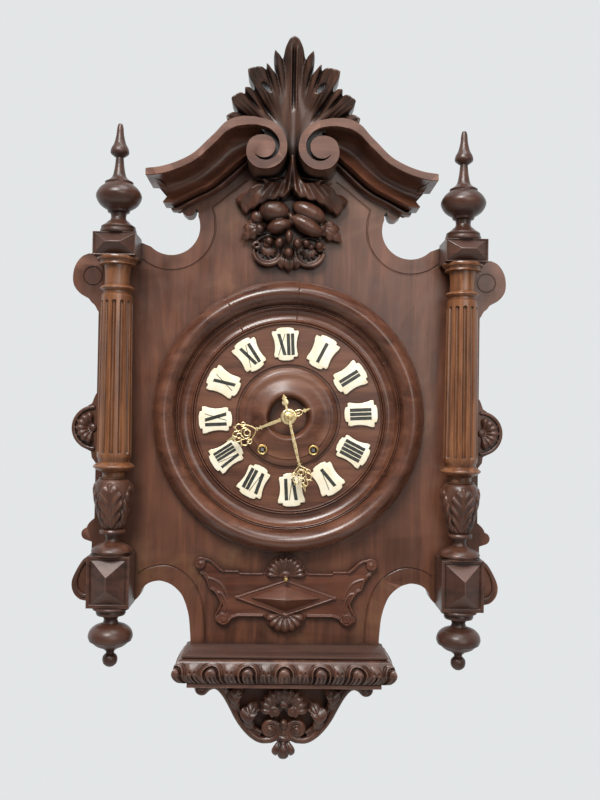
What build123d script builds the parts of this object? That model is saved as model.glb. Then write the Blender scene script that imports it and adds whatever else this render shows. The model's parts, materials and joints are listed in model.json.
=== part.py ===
from build123d import *
import os
from math import atan2, cos, hypot, pi, radians, sin, sqrt

# Pendulum wall clock with a carved walnut front.
# It is drawn in millimetres about the dial centre: +X to the viewer's right, +Z up,
# Y = 0 on the front face of the main board and +Y towards the wall.
# Each piece is then moved so that the origin lies in the hanging hole, on the wall plane.

# Driving dimensions
WALL_Y = 110.0              # wall plane, behind the board's front face
HANG_Z = 190.0              # hanging hole above the dial centre
BOARD_T = 20.0              # main board thickness
DIAL_OPENING_R = 72.0       # round opening in the board behind the dial
COLUMN_X = 193.5            # column axis, each side
COLUMN_Y = -27.0
CASE_X = 104.0              # half width of the rear case
CASE_TOP = 175.0
CASE_BOTTOM = -250.0
PANEL_T = 8.0               # rear case panel thickness
PLATE_T = 2.5               # movement plate thickness
FRONT_PLATE_Y = BOARD_T     # front faces of the two movement plates
BACK_PLATE_Y = 64.0
WIND_X = 29.0               # winding arbors
WIND_Z = -37.5
PALLET_Z = 52.0             # pallet arbor and suspension bend
PENDULUM_Y = 79.0
BOB_Z = -190.0
BOB_R = 27.0
PIVOT_R = 0.6
CENTRE_JOURNAL_R = 1.6
ARBOR_R = 0.9
RUNNING_GAP = 0.05          # radial clearance of every turning fit
SIDES = (-1, 1)

os.makedirs("parts", exist_ok=True)


# Shape helpers

def outline(*stops):
    """Closed face: a tuple is a corner, a list of two is an arc, a longer list a smooth curve."""
    edges = []
    here = stops[0]
    for stop in stops[1:] + (stops[0],):
        points = stop if isinstance(stop, list) else [stop]
        if len(points) == 1:
            edges.append(Line(here, points[0]))
        elif len(points) == 2:
            edges.append(ThreePointArc(here, *points))
        else:
            edges.append(Spline(here, *points))
        here = points[-1]
    return make_face(edges)


def slab(face, y_front, y_back):
    """A face drawn in X and Z, made solid between two depths."""
    return extrude(Plane.XZ.offset(-y_back) * face, y_back - y_front)


def box(x0, x1, y0, y1, z0, z1):
    return Pos((x0 + x1) / 2, (y0 + y1) / 2, (z0 + z1) / 2) * Box(x1 - x0, y1 - y0, z1 - z0)


def turned_z(face, x, y):
    """A profile of radius and height, turned about a vertical axis."""
    return Pos(x, y, 0) * revolve(Plane.XZ * face, Axis.Z, 360)


def turned_y(face, x=0, z=0):
    """A profile of radius and depth, turned about an axis from front to back."""
    return Pos(x, 0, z) * revolve(face, Axis.Y, 360)


def rod_z(x, y, r, z0, z1):
    return Pos(x, y, z0) * Cylinder(r, z1 - z0, align=(Align.CENTER, Align.CENTER, Align.MIN))


def rod_y(x, z, r, y0, y1):
    """A round rod from front to back."""
    return Pos(x, y0, z) * Rot(-90, 0, 0) * rod_z(0, 0, r, 0, y1 - y0)


def rod_x(y, z, r, x0, x1):
    return Pos(x0, y, z) * Rot(0, 90, 0) * rod_z(0, 0, r, 0, x1 - x0)


def mirrored(solid):
    return mirror(solid, Plane.YZ)


def mirror_stops(stops):
    """The other half of a symmetric outline, in reverse order."""
    result = []
    for x, z in reversed(stops):
        result.append((-x, z))
    return result


def symmetric(half):
    """A closed polygon from its right half, listed from top to bottom."""
    points = list(half) + [p for p in mirror_stops(half) if p[0] != 0]
    return make_face(Polyline(*points, close=True))


def save(name, *solids):
    """Writes one sub-part, moved from the dial centre to the hanging hole."""
    moved = [Pos(0, -WALL_Y, -HANG_Z) * solid for solid in solids]
    shape = moved[0] if len(moved) == 1 else Compound(children=moved)
    export_step(shape, f"parts/{name}.step")


# Carved case front

BOARD_HALF = [
    (0, 318), (40, 320), (70, 308), (96, 284), (120, 266), (138, 258), (146, 249), (133, 243), (125, 232),
    (115, 229.5), (110, 238), (106, 230), (105.5, 210), (113, 195.5), (125, 186.5), (138, 184), (151, 186.6),
    (161, 193.5), (178, 200), (200, 200), (205, 184), (232, 184),
    (240, 180), (247, 170), (249.5, 158), (248, 147), (241, 138), (232, 133), (228, 128), (220, 118),
    (220, 22), (225, 12), (233, 7.5), (243, -1), (247.5, -16), (243, -31), (231, -41), (224, -50),
    (220, -60), (220, -119), (228, -130), (234, -137), (228, -144), (222, -148), (222, -160), (230, -165),
    (237, -175), (243, -188), (243, -198), (235, -211), (222, -212.5), (178, -223),
    (167, -207), (160, -195.5), (152, -190.5), (144, -189.8), (130, -194), (120, -203), (112, -221),
    (108, -250), (107.5, -258), (0, -258),
]


def main_board():
    board = slab(symmetric(BOARD_HALF), 0, BOARD_T)
    board -= rod_y(0, 0, DIAL_OPENING_R, -1, BOARD_T + 1)
    for x, z in CORNER_SCREWS:
        board -= rod_y(x, z, SCREW_R, BOARD_T - SCREW_DEPTH, BOARD_T + 1)
    return board


def dial_bezel():
    """Turned ring: flat outer step, large torus, two beads and a recessed cove round the dial."""
    profile = outline(
        (108.2, 0), (156, 0), (156, -3), (153, -4), [(151.5, -15), (141, -25), (129.5, -14)],
        (127, -11.5), [(125, -13.5), (123, -11.5)], (121, -8), (110, -8), (110, -12), (108.2, -12))
    return turned_y(profile)


DIAL_HOLE_R = 6.0
DIAL_WELL_Y = -4.0
KEY_HOLE_R = 3.5
GROMMET_R = 6.0
GROMMET_Y = (-15.0, -7.5)


def dial_plate():
    """Turned disc: rim bead, flat chapter ring, grooves and a raised boss with a central well."""
    profile = outline(
        (DIAL_HOLE_R, 0), (108, 0), (108, -9), [(107, -10), (106, -9)], (106, -7), (60, -7), (59, -6),
        (57, -6), (56, -7), (55, -9), [(50, -11.5), (44, -12.5), (34, -17), (27, -18.5), (23, -16.5), (21, -12)],
        (20, DIAL_WELL_Y), (DIAL_HOLE_R, DIAL_WELL_Y))
    plate = turned_y(profile)
    for side in SIDES:
        plate -= rod_y(side * WIND_X, WIND_Z, GROMMET_R, -30, 1)
    return plate


def winding_grommet(side):
    sleeve = rod_y(side * WIND_X, WIND_Z, GROMMET_R, *GROMMET_Y)
    return sleeve - rod_y(side * WIND_X, WIND_Z, KEY_HOLE_R, GROMMET_Y[0] - 1, GROMMET_Y[1] + 1)


PLAQUE_MID_R = 83.0
PLAQUE_TURN = 3.0           # the plaque ring sits turned anticlockwise by this, in degrees
PLAQUE_FRONT_Y = -9.6
CHAPTER_Y = -7.0            # flat ring of the dial plate that the plaques lie on


def hour_plaque(hour):
    """Enamel cartouche with a waisted body and a stepped tab at each end."""
    half = [(10, 19), (10, 15.5), (15.5, 15.5), (14.5, 8), (12.5, 0), (12.5, -8), (13, -15), (8.5, -15),
            (8.5, -19)]
    plaque = slab(symmetric(half), PLAQUE_FRONT_Y, CHAPTER_Y)
    return Rot(0, hour * 30 - PLAQUE_TURN, 0) * Pos(0, 0, PLAQUE_MID_R) * plaque


MOULDING_TOP = [
    (145, 270.5), (130, 275), (117, 281), (105, 289), (95, 299), (85, 309.5), (75, 320), (65, 325.5),
    (55, 328), (45, 328.5), (35, 327), (30, 310),
]
VOLUTE = (30.0, 295.0, 23.5)


def pediment_moulding():
    """Right half of the broken pediment: three steps of moulding ending in a volute."""
    top_step = outline((160, 268.5), *MOULDING_TOP, (45, 318), (60, 315), (72, 309), (85, 298), (100, 284),
                       (115, 274), (130, 266), (157, 260))
    middle = outline(*MOULDING_TOP, (40, 300), (55, 297), (70, 290), (85, 277), (95, 268), (110, 257),
                     (125, 250), (143, 248), (146, 256))
    lower = outline(*MOULDING_TOP[1:], (40, 290), (50, 286), (62, 276), (75, 264), (90, 253), (110, 243),
                    (128, 232), (134, 240), (136, 262))
    moulding = slab(top_step, -55, -40) + slab(middle, -40, -18) + slab(lower, -18, 0)
    return moulding + rod_y(VOLUTE[0], VOLUTE[1], VOLUTE[2], -57, 0)


PALMETTE_HALF = [
    (0, 417.5), (8, 410), (13, 400), (12.5, 397), (21, 401.5), (24, 392), (23, 382), (29.5, 387), (40, 386),
    (49.5, 381), (47, 370), (43.5, 362), (52, 361), (60, 356), (67, 350), (64, 342), (61, 337), (68, 334),
    (72.5, 328), (64, 329.5), (50, 332), (35, 331), (20, 323), (8, 309), (5.5, 300), (5.5, 262), (0, 262),
]


def crest_palmette():
    """Seven-lobed crest leaf whose stem runs down between the volutes to the board."""
    leaf = slab(symmetric(PALMETTE_HALF), -60, -24)
    return leaf + box(-5.5, 5.5, -24, 0, 262, 316)


FRUIT_HALF = [
    (0, 259), (36, 259), (42, 250), (58, 244), (52, 235), (44, 231), (46, 220), (57, 207), (50, 198),
    (42, 196), (40, 184), (30, 173), (18, 171), (8, 174), (0, 165),
]


def fruit_carving():
    """Hanging cluster of leaves, fruit and small scrolls below the volutes."""
    return slab(symmetric(FRUIT_HALF), -34, 0)


BLOCK_HALF = 23.5
BLOCK_FRONT_Y = -54.0


def pyramid_block(side, z0, z1, boss_rise):
    """Square block on the board with a low pyramid on its front."""
    x = side * (COLUMN_X + 1.5)
    block = box(x - BLOCK_HALF, x + BLOCK_HALF, BLOCK_FRONT_Y + boss_rise, 0, z0, z1)
    mid_z = (z0 + z1) / 2
    base = Plane.XZ.offset(-(BLOCK_FRONT_Y + boss_rise)) * Rectangle(2 * BLOCK_HALF - 7, z1 - z0 - 7)
    ridge = Plane.XZ.offset(-BLOCK_FRONT_Y) * Rectangle(2, 2)
    pyramid = loft([Pos(x, 0, mid_z) * base, Pos(x, 0, mid_z) * ridge])
    return block + pyramid


def top_block(side):
    return pyramid_block(side, 175.0, 200.6, 7)


def bottom_block(side):
    return pyramid_block(side, -212.7, -156.0, 12)


def top_finial(side):
    """Turned spire, bulb and base disc that stands on the top block."""
    profile = outline(
        (0, 200.6), (20, 200.6), (20, 206), (18, 211), (13, 215), (9, 218), (8.5, 223),
        [(13, 231), (25.3, 243), (20, 252), (13, 258)], (7, 262), (5, 270), (4, 286), (7, 289),
        [(10.5, 294), (8, 300), (5, 310), (2.5, 319), (0, 326)])
    return turned_z(profile, side * COLUMN_X, COLUMN_Y)


FLUTES = 12
FLUTE_R = 2.6
FLUTE_AXIS_R = 19.6
FLUTE_Z = (-44.0, 126.0)


def column_shaft(side):
    """Cap rings, plain neck and fluted shaft between the top block and the vase."""
    profile = outline(
        (0, 175), (22.8, 175), (22.8, 171), (19.5, 169), (19.5, 166), (14, 165), (14, 142),
        [(19, 140), (14, 138)], (15, 134), (17, 132), (18.8, -48), (17, -51), (17, -54), [(23, -58), (17, -62)],
        (11, -66), (11, -70), (0, -70))
    shaft = turned_z(profile, side * COLUMN_X, COLUMN_Y)
    for i in range(FLUTES):
        turn = 2 * pi * i / FLUTES
        x = side * COLUMN_X + FLUTE_AXIS_R * cos(turn)
        y = COLUMN_Y + FLUTE_AXIS_R * sin(turn)
        shaft -= rod_z(x, y, FLUTE_R, *FLUTE_Z)
    return shaft


def column_vase(side):
    """Carved vase and turned foot between the shaft and the bottom block."""
    profile = outline(
        (0, -70), (15, -70), [(21, -78), (21.8, -86), (18, -104), (11, -126)], (13, -128), (13, -132),
        (7, -134), (7, -142), [(20, -147), (23.3, -151), (20, -155)], (20, -156), (0, -156))
    return turned_z(profile, side * COLUMN_X, COLUMN_Y)


DROP_BALL_R = 8.3
DROP_BALL_Z = -271.2


def drop_finial(side):
    """Turned drop with a small ball, under the bottom block."""
    profile = outline(
        (0, -212.7), (20, -212.7), (20, -215), (15.5, -218), (15.5, -222), (8, -224), (7.5, -230),
        [(16, -236), (24.5, -246.5), (16, -255), (7, -259)], (4, -263), (4, DROP_BALL_Z), (0, DROP_BALL_Z))
    ball = Pos(side * COLUMN_X, COLUMN_Y, DROP_BALL_Z) * Sphere(DROP_BALL_R)
    return turned_z(profile, side * COLUMN_X, COLUMN_Y) + ball


STRAPWORK_HALF = [
    (0, -158), (14, -162), (21, -172), (25, -178), (53, -178), (54, -175), (72, -175), (78, -169),
    (88, -162), (97, -162), (103, -168), (100, -180), (90, -187), (86, -197), (77, -203), (72, -214), (76, -221),
    (80, -228), (74, -233), (62, -228), (24, -228), (14, -240), (0, -244),
]


def strapwork_panel():
    """Flat strapwork cartouche with scrolled corners and small fans above and below."""
    panel = slab(symmetric(STRAPWORK_HALF), -8, 0)
    seat = make_face(Polyline((56, -206), (0, -187), (-56, -206), (0, -225), close=True))
    return panel - slab(seat, -9, -4)


def diamond_boss():
    """Raised four-sided pyramid in the middle of the strapwork."""
    base = make_face(Polyline((54, -206), (0, -188), (-54, -206), (0, -224), close=True))
    tip = make_face(Polyline((2, -206), (0, -205), (-2, -206), (0, -207), close=True))
    return loft([Plane.XZ.offset(4) * base, Plane.XZ.offset(20) * tip])


def shelf_moulding():
    """Shelf under the board: front and side profile of a step, an ovolo, a cove and a fillet."""
    steps = [
        (111, -38, -258.0, -263.0), (116, -43, -263.0, -268.0), (120.5, -48, -268.0, -274.0),
        (122, -50, -274.0, -288.0), (117, -45, -288.0, -294.0), (107, -36, -294.0, -299.5),
    ]
    shelf = None
    for half_width, y_front, z_top, z_bottom in steps:
        layer = box(-half_width, half_width, y_front, BOARD_T, z_bottom, z_top)
        shelf = layer if shelf is None else shelf + layer
    return shelf


BRACKET_HALF = [
    (0, -299.5), (98, -299.5), (102, -308), (96, -316), (86, -308), (80, -307), (74, -310), (68, -318),
    (60, -330), (54, -342), (47, -353), (38, -363), (28, -369), (10, -370), (11, -376), (7, -379),
    (0, -385.5),
]


def bracket_carving():
    """Pierced leaf bracket with a fan shell, ending in a small drop."""
    return slab(symmetric(BRACKET_HALF), -22, BOARD_T)


# Rear case

def case_panels():
    """Left side, top, bottom and back of the box behind the board; the right side is the door."""
    rear = WALL_Y - PANEL_T
    left = box(-CASE_X, -CASE_X + PANEL_T, BOARD_T, rear, CASE_BOTTOM, CASE_TOP)
    top = box(-CASE_X + PANEL_T, CASE_X, BOARD_T, rear, CASE_TOP - PANEL_T, CASE_TOP)
    bottom = box(-CASE_X + PANEL_T, CASE_X, BOARD_T, rear, CASE_BOTTOM, CASE_BOTTOM + PANEL_T)
    back = box(-CASE_X, CASE_X, rear, WALL_Y, CASE_BOTTOM, CASE_TOP)
    back -= box(-16, 16, WALL_Y - HANGER_T, WALL_Y + 1, CASE_TOP - 30, CASE_TOP + 1)
    for x in HANGER_SCREW_X:
        back -= hanger_screw(x)
    return left, top, bottom, back


HANGER_T = 2.0
HANG_HOLE_R = 4.5
HANGER_SCREW_X = (-9, 9)
HANGER_SCREW_Z = CASE_TOP - 15


def hanger_plate():
    """Steel plate let into the back panel, with the hanging hole above the case."""
    plate = box(-15.5, 15.5, WALL_Y - HANGER_T, WALL_Y, CASE_TOP - 29, HANG_Z + 12)
    plate -= rod_y(0, HANG_Z, HANG_HOLE_R, WALL_Y - HANGER_T - 1, WALL_Y + 1)
    for x in HANGER_SCREW_X:
        plate -= hanger_screw(x)
    return plate


def hanger_screw(x):
    """Countersunk wood screw, drawn as its shank; it goes through the panel's full thickness."""
    return rod_y(x, HANGER_SCREW_Z, SCREW_R, WALL_Y - PANEL_T, WALL_Y)


DOOR_GAP = 1.0
DOOR_AXIS = (CASE_X + 2.5, WALL_Y - PANEL_T - 0.5)      # X and Y of the hinge pins
HINGE_ZS = (CASE_TOP - 60, CASE_BOTTOM + 60)
HINGE_H = 36.0
KNUCKLE_R = 2.2
PIN_R = 1.1
LEAF_T = 1.0
KNOB_AT = (32.0, -40.0)      # Y and Z of the door knob


def side_door():
    """Right side of the case, hinged at its rear edge, with room round it."""
    return box(CASE_X - PANEL_T, CASE_X, BOARD_T + DOOR_GAP, WALL_Y - PANEL_T - DOOR_GAP,
               CASE_BOTTOM + PANEL_T + DOOR_GAP, CASE_TOP - PANEL_T - DOOR_GAP)


def knuckle(z0, z1):
    ring = rod_z(DOOR_AXIS[0], DOOR_AXIS[1], KNUCKLE_R, z0, z1)
    return ring - rod_z(DOOR_AXIS[0], DOOR_AXIS[1], PIN_R + RUNNING_GAP, z0 - 1, z1 + 1)


def door_leaf(z):
    """Hinge leaf on the door with the middle knuckle."""
    third = HINGE_H / 6 - 0.2
    leaf = box(CASE_X, CASE_X + LEAF_T, DOOR_AXIS[1] - 16, DOOR_AXIS[1] - 1.6, z - third, z + third)
    return leaf + knuckle(z - third, z + third)


def case_leaf(z):
    """Hinge leaf on the back panel's edge with the two outer knuckles and the pin."""
    half = HINGE_H / 2
    third = HINGE_H / 6 + 0.2
    leaf = box(CASE_X, CASE_X + LEAF_T, DOOR_AXIS[1] + 1.6, WALL_Y - 1, z - half, z + half)
    leaf += knuckle(z - half, z - third) + knuckle(z + third, z + half)
    pin = rod_z(DOOR_AXIS[0], DOOR_AXIS[1], PIN_R, z - half, z + half)
    heads = rod_z(DOOR_AXIS[0], DOOR_AXIS[1], KNUCKLE_R, z + half, z + half + 1)
    heads += rod_z(DOOR_AXIS[0], DOOR_AXIS[1], KNUCKLE_R, z - half - 1, z - half)
    return leaf + pin + heads


def door_knob():
    """Small turned knob near the door's front edge."""
    y, z = KNOB_AT
    return rod_x(y, z, 1.6, CASE_X, CASE_X + 2.2) + rod_x(y, z, 3.0, CASE_X + 2.2, CASE_X + 3.8)


# Movement

def gear(teeth, pitch_r, y0, y1, x=0, z=0, turn=0.0, tip=0.7, root=1.15, share=0.4):
    """Toothed disc; tip and root are in modules, share is the tooth's part of the pitch."""
    module = 2 * pitch_r / teeth
    tip_r = pitch_r + tip * module
    root_r = pitch_r - root * module
    points = []
    for i in range(teeth):
        middle = 2 * pi * i / teeth
        for radius, half in ((root_r, 0.62 * share), (tip_r, 0.28 * share), (tip_r, -0.28 * share),
                             (root_r, -0.62 * share)):
            angle = middle - 2 * pi / teeth * half
            points.append((radius * sin(angle), radius * cos(angle)))
    face = make_face(Polyline(*points, close=True))
    return Pos(x, 0, z) * Rot(0, turn, 0) * slab(face, y0, y1)


def meet(a, b, distance_a, distance_b, side):
    """The point at the two given distances from a and b, on one side of the line a to b."""
    gap = hypot(b[0] - a[0], b[1] - a[1])
    along = (distance_a ** 2 - distance_b ** 2 + gap ** 2) / (2 * gap)
    across = side * sqrt(distance_a ** 2 - along ** 2)
    ux = (b[0] - a[0]) / gap
    uz = (b[1] - a[1]) / gap
    return (a[0] + along * ux + across * uz, a[1] + along * uz - across * ux)


def onward(at, distance, turn):
    """The point at a distance from at, along a clockwise angle from +Z."""
    return (at[0] + distance * sin(radians(turn)), at[1] + distance * cos(radians(turn)))


# Each wheel's teeth and the leaves of the pinion that it drives, with their centre distance
GREAT = (70, 10, 30.72)
INTERMEDIATE = (54, 6, 20.8)
CENTRE = (60, 6, 19.8)
THIRD = (72, 6, 18.2)
CANNON = (12, 36, 12.0)
MINUTE = (10, 40, 12.0)
PIN_WHEEL = (54, 6, 20.0)
STRIKE_THIRD = (60, 6, 15.0)

GOING_AT = (WIND_X, WIND_Z)
STRIKE_AT = (-WIND_X, WIND_Z)
CENTRE_AT = (0.0, 0.0)
ESCAPE_AT = (0.0, PALLET_Z - 20.5)
INTERMEDIATE_AT = meet(GOING_AT, CENTRE_AT, GREAT[2], INTERMEDIATE[2], 1)
THIRD_AT = meet(CENTRE_AT, ESCAPE_AT, CENTRE[2], THIRD[2], 1)
MINUTE_AT = (-CANNON[2] * sin(pi / 4), CANNON[2] * cos(pi / 4))
PIN_AT = onward(STRIKE_AT, GREAT[2], -8.0)
STRIKE_THIRD_AT = onward(PIN_AT, PIN_WHEEL[2], 15.0)
FLY_AT = onward(STRIKE_THIRD_AT, STRIKE_THIRD[2], -8.0)
HAMMER_AT = (52.0, 20.0)

INTERMEDIATE_Y = (27.0, 29.0)
CENTRE_Y = (35.0, 37.0)
THIRD_Y = (43.0, 45.0)
ESCAPE_Y = (54.0, 56.0)
GREAT_Y = (59.0, 61.5)
DRUM_Y = (33.0, 59.0)
PLATE_INNER_Y = FRONT_PLATE_Y + PLATE_T


def wheel_r(pair):
    return pair[2] * pair[0] / (pair[0] + pair[1])


def pinion_r(pair):
    return pair[2] * pair[1] / (pair[0] + pair[1])


def bearing(a, b):
    """Clockwise angle from +Z of the line from a to b, in degrees."""
    return atan2(b[0] - a[0], b[1] - a[1]) * 180 / pi


def in_mesh(wheel_at, pinion_at, leaves):
    """Turn of a pinion so that one of its gaps faces a wheel tooth on the line of centres."""
    return bearing(pinion_at, wheel_at) + 180.0 / leaves


def arbor(at, y0=PLATE_INNER_Y + 0.4, y1=BACK_PLATE_Y - 0.4):
    """Turned arbor between the plates, with a pivot at each end."""
    body = rod_y(at[0], at[1], ARBOR_R, y0, y1)
    return body + rod_y(at[0], at[1], PIVOT_R, FRONT_PLATE_Y + 0.2, BACK_PLATE_Y + PLATE_T - 0.2)


def train_wheel(at, driven_by, driver_at, driver_y, drives, driven_at, wheel_y):
    """A wheel and its pinion on one arbor, each turned into mesh with its neighbour."""
    pinion = gear(driven_by[1], pinion_r(driven_by), driver_y[0] - 1.5, driver_y[1] + 1.5, at[0], at[1],
                  in_mesh(driver_at, at, driven_by[1]), tip=0.6, root=1.0, share=0.36)
    wheel = gear(drives[0], wheel_r(drives), wheel_y[0], wheel_y[1], at[0], at[1], bearing(at, driven_at))
    return arbor(at) + pinion + wheel


def barrel(at, driven_at):
    """Spring drum with its great wheel, free to turn on the winding arbor."""
    drum = rod_y(at[0], at[1], 24, *DRUM_Y)
    drum += gear(GREAT[0], wheel_r(GREAT), GREAT_Y[0], GREAT_Y[1], at[0], at[1], bearing(at, driven_at))
    drum -= rod_y(at[0], at[1], 22.5, DRUM_Y[0] + 1.5, DRUM_Y[1] - 1.5)
    return drum - rod_y(at[0], at[1], WIND_R + RUNNING_GAP, DRUM_Y[0] - 1, GREAT_Y[1] + 1)


WIND_R = 3.0
RATCHET_TEETH = 20
RATCHET_R = 9.0
RATCHET_Y = (16.0, 18.5)
SQUARE = 4.0
SQUARE_FRONT_Y = -9.0
CLICK_REACH = 15.0          # winding arbor to click stud
CLICK_NOSE_TURN = 20.0      # degrees above the horizontal, from the winding arbor
CLICK_BOSS_R = 2.8
STUD_R = 1.2
STUD_HEAD_R = 2.2


def winding_arbor(at):
    """Arbor with a square for the key in front, a ratchet wheel and round journals."""
    points = []
    for i in range(RATCHET_TEETH):
        start = 2 * pi * i / RATCHET_TEETH
        points.append((RATCHET_R * sin(start), RATCHET_R * cos(start)))
        points.append(((RATCHET_R - 1.4) * sin(start + 0.04), (RATCHET_R - 1.4) * cos(start + 0.04)))
    ratchet = Pos(at[0], 0, at[1]) * slab(make_face(Polyline(*points, close=True)), *RATCHET_Y)
    shaft = rod_y(at[0], at[1], WIND_R, RATCHET_Y[1], BACK_PLATE_Y + PLATE_T)
    key_square = box(at[0] - SQUARE / 2, at[0] + SQUARE / 2, SQUARE_FRONT_Y, RATCHET_Y[0],
                     at[1] - SQUARE / 2, at[1] + SQUARE / 2)
    return shaft + ratchet + key_square


def click_pivot(at, side):
    return (at[0] + side * CLICK_REACH * cos(pi / 6), at[1] - CLICK_REACH * sin(pi / 6))


def click(at, side):
    """Pawl on a stud, its nose just outside the ratchet's tips."""
    pivot = click_pivot(at, side)
    across = side * cos(radians(CLICK_NOSE_TURN))
    rise = sin(radians(CLICK_NOSE_TURN))
    nose_r = RATCHET_R + 0.5
    back_r = RATCHET_R + 3.0
    nose = (at[0] + nose_r * across, at[1] + nose_r * rise)
    back = (at[0] + back_r * across, at[1] + back_r * rise)
    wedge = make_face(Polyline(nose, back, (pivot[0] + side * 2.4, pivot[1]), (pivot[0] - side * 1.6, pivot[1]),
                               close=True))
    pawl = slab(wedge, *RATCHET_Y) + rod_y(pivot[0], pivot[1], CLICK_BOSS_R, *RATCHET_Y)
    return pawl - rod_y(pivot[0], pivot[1], STUD_R + RUNNING_GAP, RATCHET_Y[0] - 1, RATCHET_Y[1] + 1)


def click_stud(at, side):
    pivot = click_pivot(at, side)
    stud = rod_y(pivot[0], pivot[1], STUD_R, RATCHET_Y[0], FRONT_PLATE_Y)
    return stud + rod_y(pivot[0], pivot[1], STUD_HEAD_R, RATCHET_Y[0] - 1, RATCHET_Y[0])


PLATE_X = 56.0
PLATE_Z = (-76.0, 64.0)
PILLARS = [(-50, -66), (50, -66), (-48, 48), (48, 48)]
PILLAR_R = 4.0
SCREW_R = 1.5
TRAIN_PIVOTS = (INTERMEDIATE_AT, CENTRE_AT, THIRD_AT, ESCAPE_AT, PIN_AT, STRIKE_THIRD_AT, FLY_AT)
CORNER_SCREWS = [(-40, -72), (40, -72), (-52, 60), (52, 60)]
SCREW_DEPTH = 10.0
SCREW_HEAD_R = 2.8
NUT_R = 3.6                 # over the corners
NUT_T = 2.2


def movement_plate(y0):
    """Rectangular brass plate with the pivot holes."""
    plate = box(-PLATE_X, PLATE_X, y0, y0 + PLATE_T, *PLATE_Z)
    for x, z in TRAIN_PIVOTS + ((0.0, PALLET_Z), HAMMER_AT):
        plate -= rod_y(x, z, PIVOT_R + RUNNING_GAP, y0 - 1, y0 + PLATE_T + 1)
    for x, z in (GOING_AT, STRIKE_AT):
        plate -= rod_y(x, z, WIND_R + RUNNING_GAP, y0 - 1, y0 + PLATE_T + 1)
    for x, z in PILLARS:
        plate -= rod_y(x, z, SCREW_R, y0 - 1, y0 + PLATE_T + 1)
    return plate


def front_plate():
    """The front plate also carries the click studs and the minute wheel's stud."""
    plate = movement_plate(FRONT_PLATE_Y)
    plate -= rod_y(0, 0, CENTRE_JOURNAL_R + RUNNING_GAP, FRONT_PLATE_Y - 1, PLATE_INNER_Y + 1)
    for x, z in CORNER_SCREWS:
        plate -= rod_y(x, z, SCREW_R, FRONT_PLATE_Y - 1, PLATE_INNER_Y + 1)
    for at, side in ((GOING_AT, 1), (STRIKE_AT, -1)):
        plate += click_stud(at, side)
    return plate + rod_y(MINUTE_AT[0], MINUTE_AT[1], STUD_R, HOUR_WHEEL_Y[0], FRONT_PLATE_Y)


def pillar(x, z):
    """Spacer with a screwed tail through the back plate."""
    body = rod_y(x, z, PILLAR_R, PLATE_INNER_Y, BACK_PLATE_Y)
    return body + rod_y(x, z, SCREW_R, FRONT_PLATE_Y, BACK_PLATE_Y + PLATE_T)


def pillar_nut(x, z):
    return Pos(x, BACK_PLATE_Y + PLATE_T, z) * Rot(-90, 0, 0) * extrude(RegularPolygon(NUT_R, 6), NUT_T)


def corner_screw(x, z):
    """Screw through the front plate's corner into the board."""
    head = rod_y(x, z, SCREW_HEAD_R, PLATE_INNER_Y, PLATE_INNER_Y + 1.6)
    return head + rod_y(x, z, SCREW_R, FRONT_PLATE_Y - SCREW_DEPTH, PLATE_INNER_Y)


def centre_wheel():
    """Centre wheel, whose long arbor carries the cannon pinion in front."""
    wheel = train_wheel(CENTRE_AT, INTERMEDIATE, INTERMEDIATE_AT, INTERMEDIATE_Y, CENTRE, THIRD_AT, CENTRE_Y)
    return wheel + rod_y(0, 0, CENTRE_JOURNAL_R, HAND_TIP_Y, PLATE_INNER_Y + 1)


ESCAPE_TEETH = 30
ESCAPE_R = 14.0


def escape_wheel():
    """Thirty pointed teeth on a thin disc."""
    points = []
    for i in range(ESCAPE_TEETH):
        start = 2 * pi * i / ESCAPE_TEETH
        points.append((ESCAPE_R * sin(start), ESCAPE_R * cos(start)))
        points.append(((ESCAPE_R - 2.6) * sin(start + 0.06), (ESCAPE_R - 2.6) * cos(start + 0.06)))
    disc = Pos(ESCAPE_AT[0], 0, ESCAPE_AT[1]) * slab(make_face(Polyline(*points, close=True)), *ESCAPE_Y)
    pinion = gear(THIRD[1], pinion_r(THIRD), THIRD_Y[0] - 1.5, THIRD_Y[1] + 1.5, ESCAPE_AT[0], ESCAPE_AT[1],
                  in_mesh(THIRD_AT, ESCAPE_AT, THIRD[1]), tip=0.6, root=1.0, share=0.36)
    return arbor(ESCAPE_AT) + disc + pinion


PALLET_TURN = 40.0          # each pallet stands this many degrees round the escape wheel
PALLET_CLEAR_R = ESCAPE_R + 1.5
CRUTCH_Y = (69.0, 70.5)
FORK_Z = 6.0
ROD_HALF = 2.0


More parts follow.
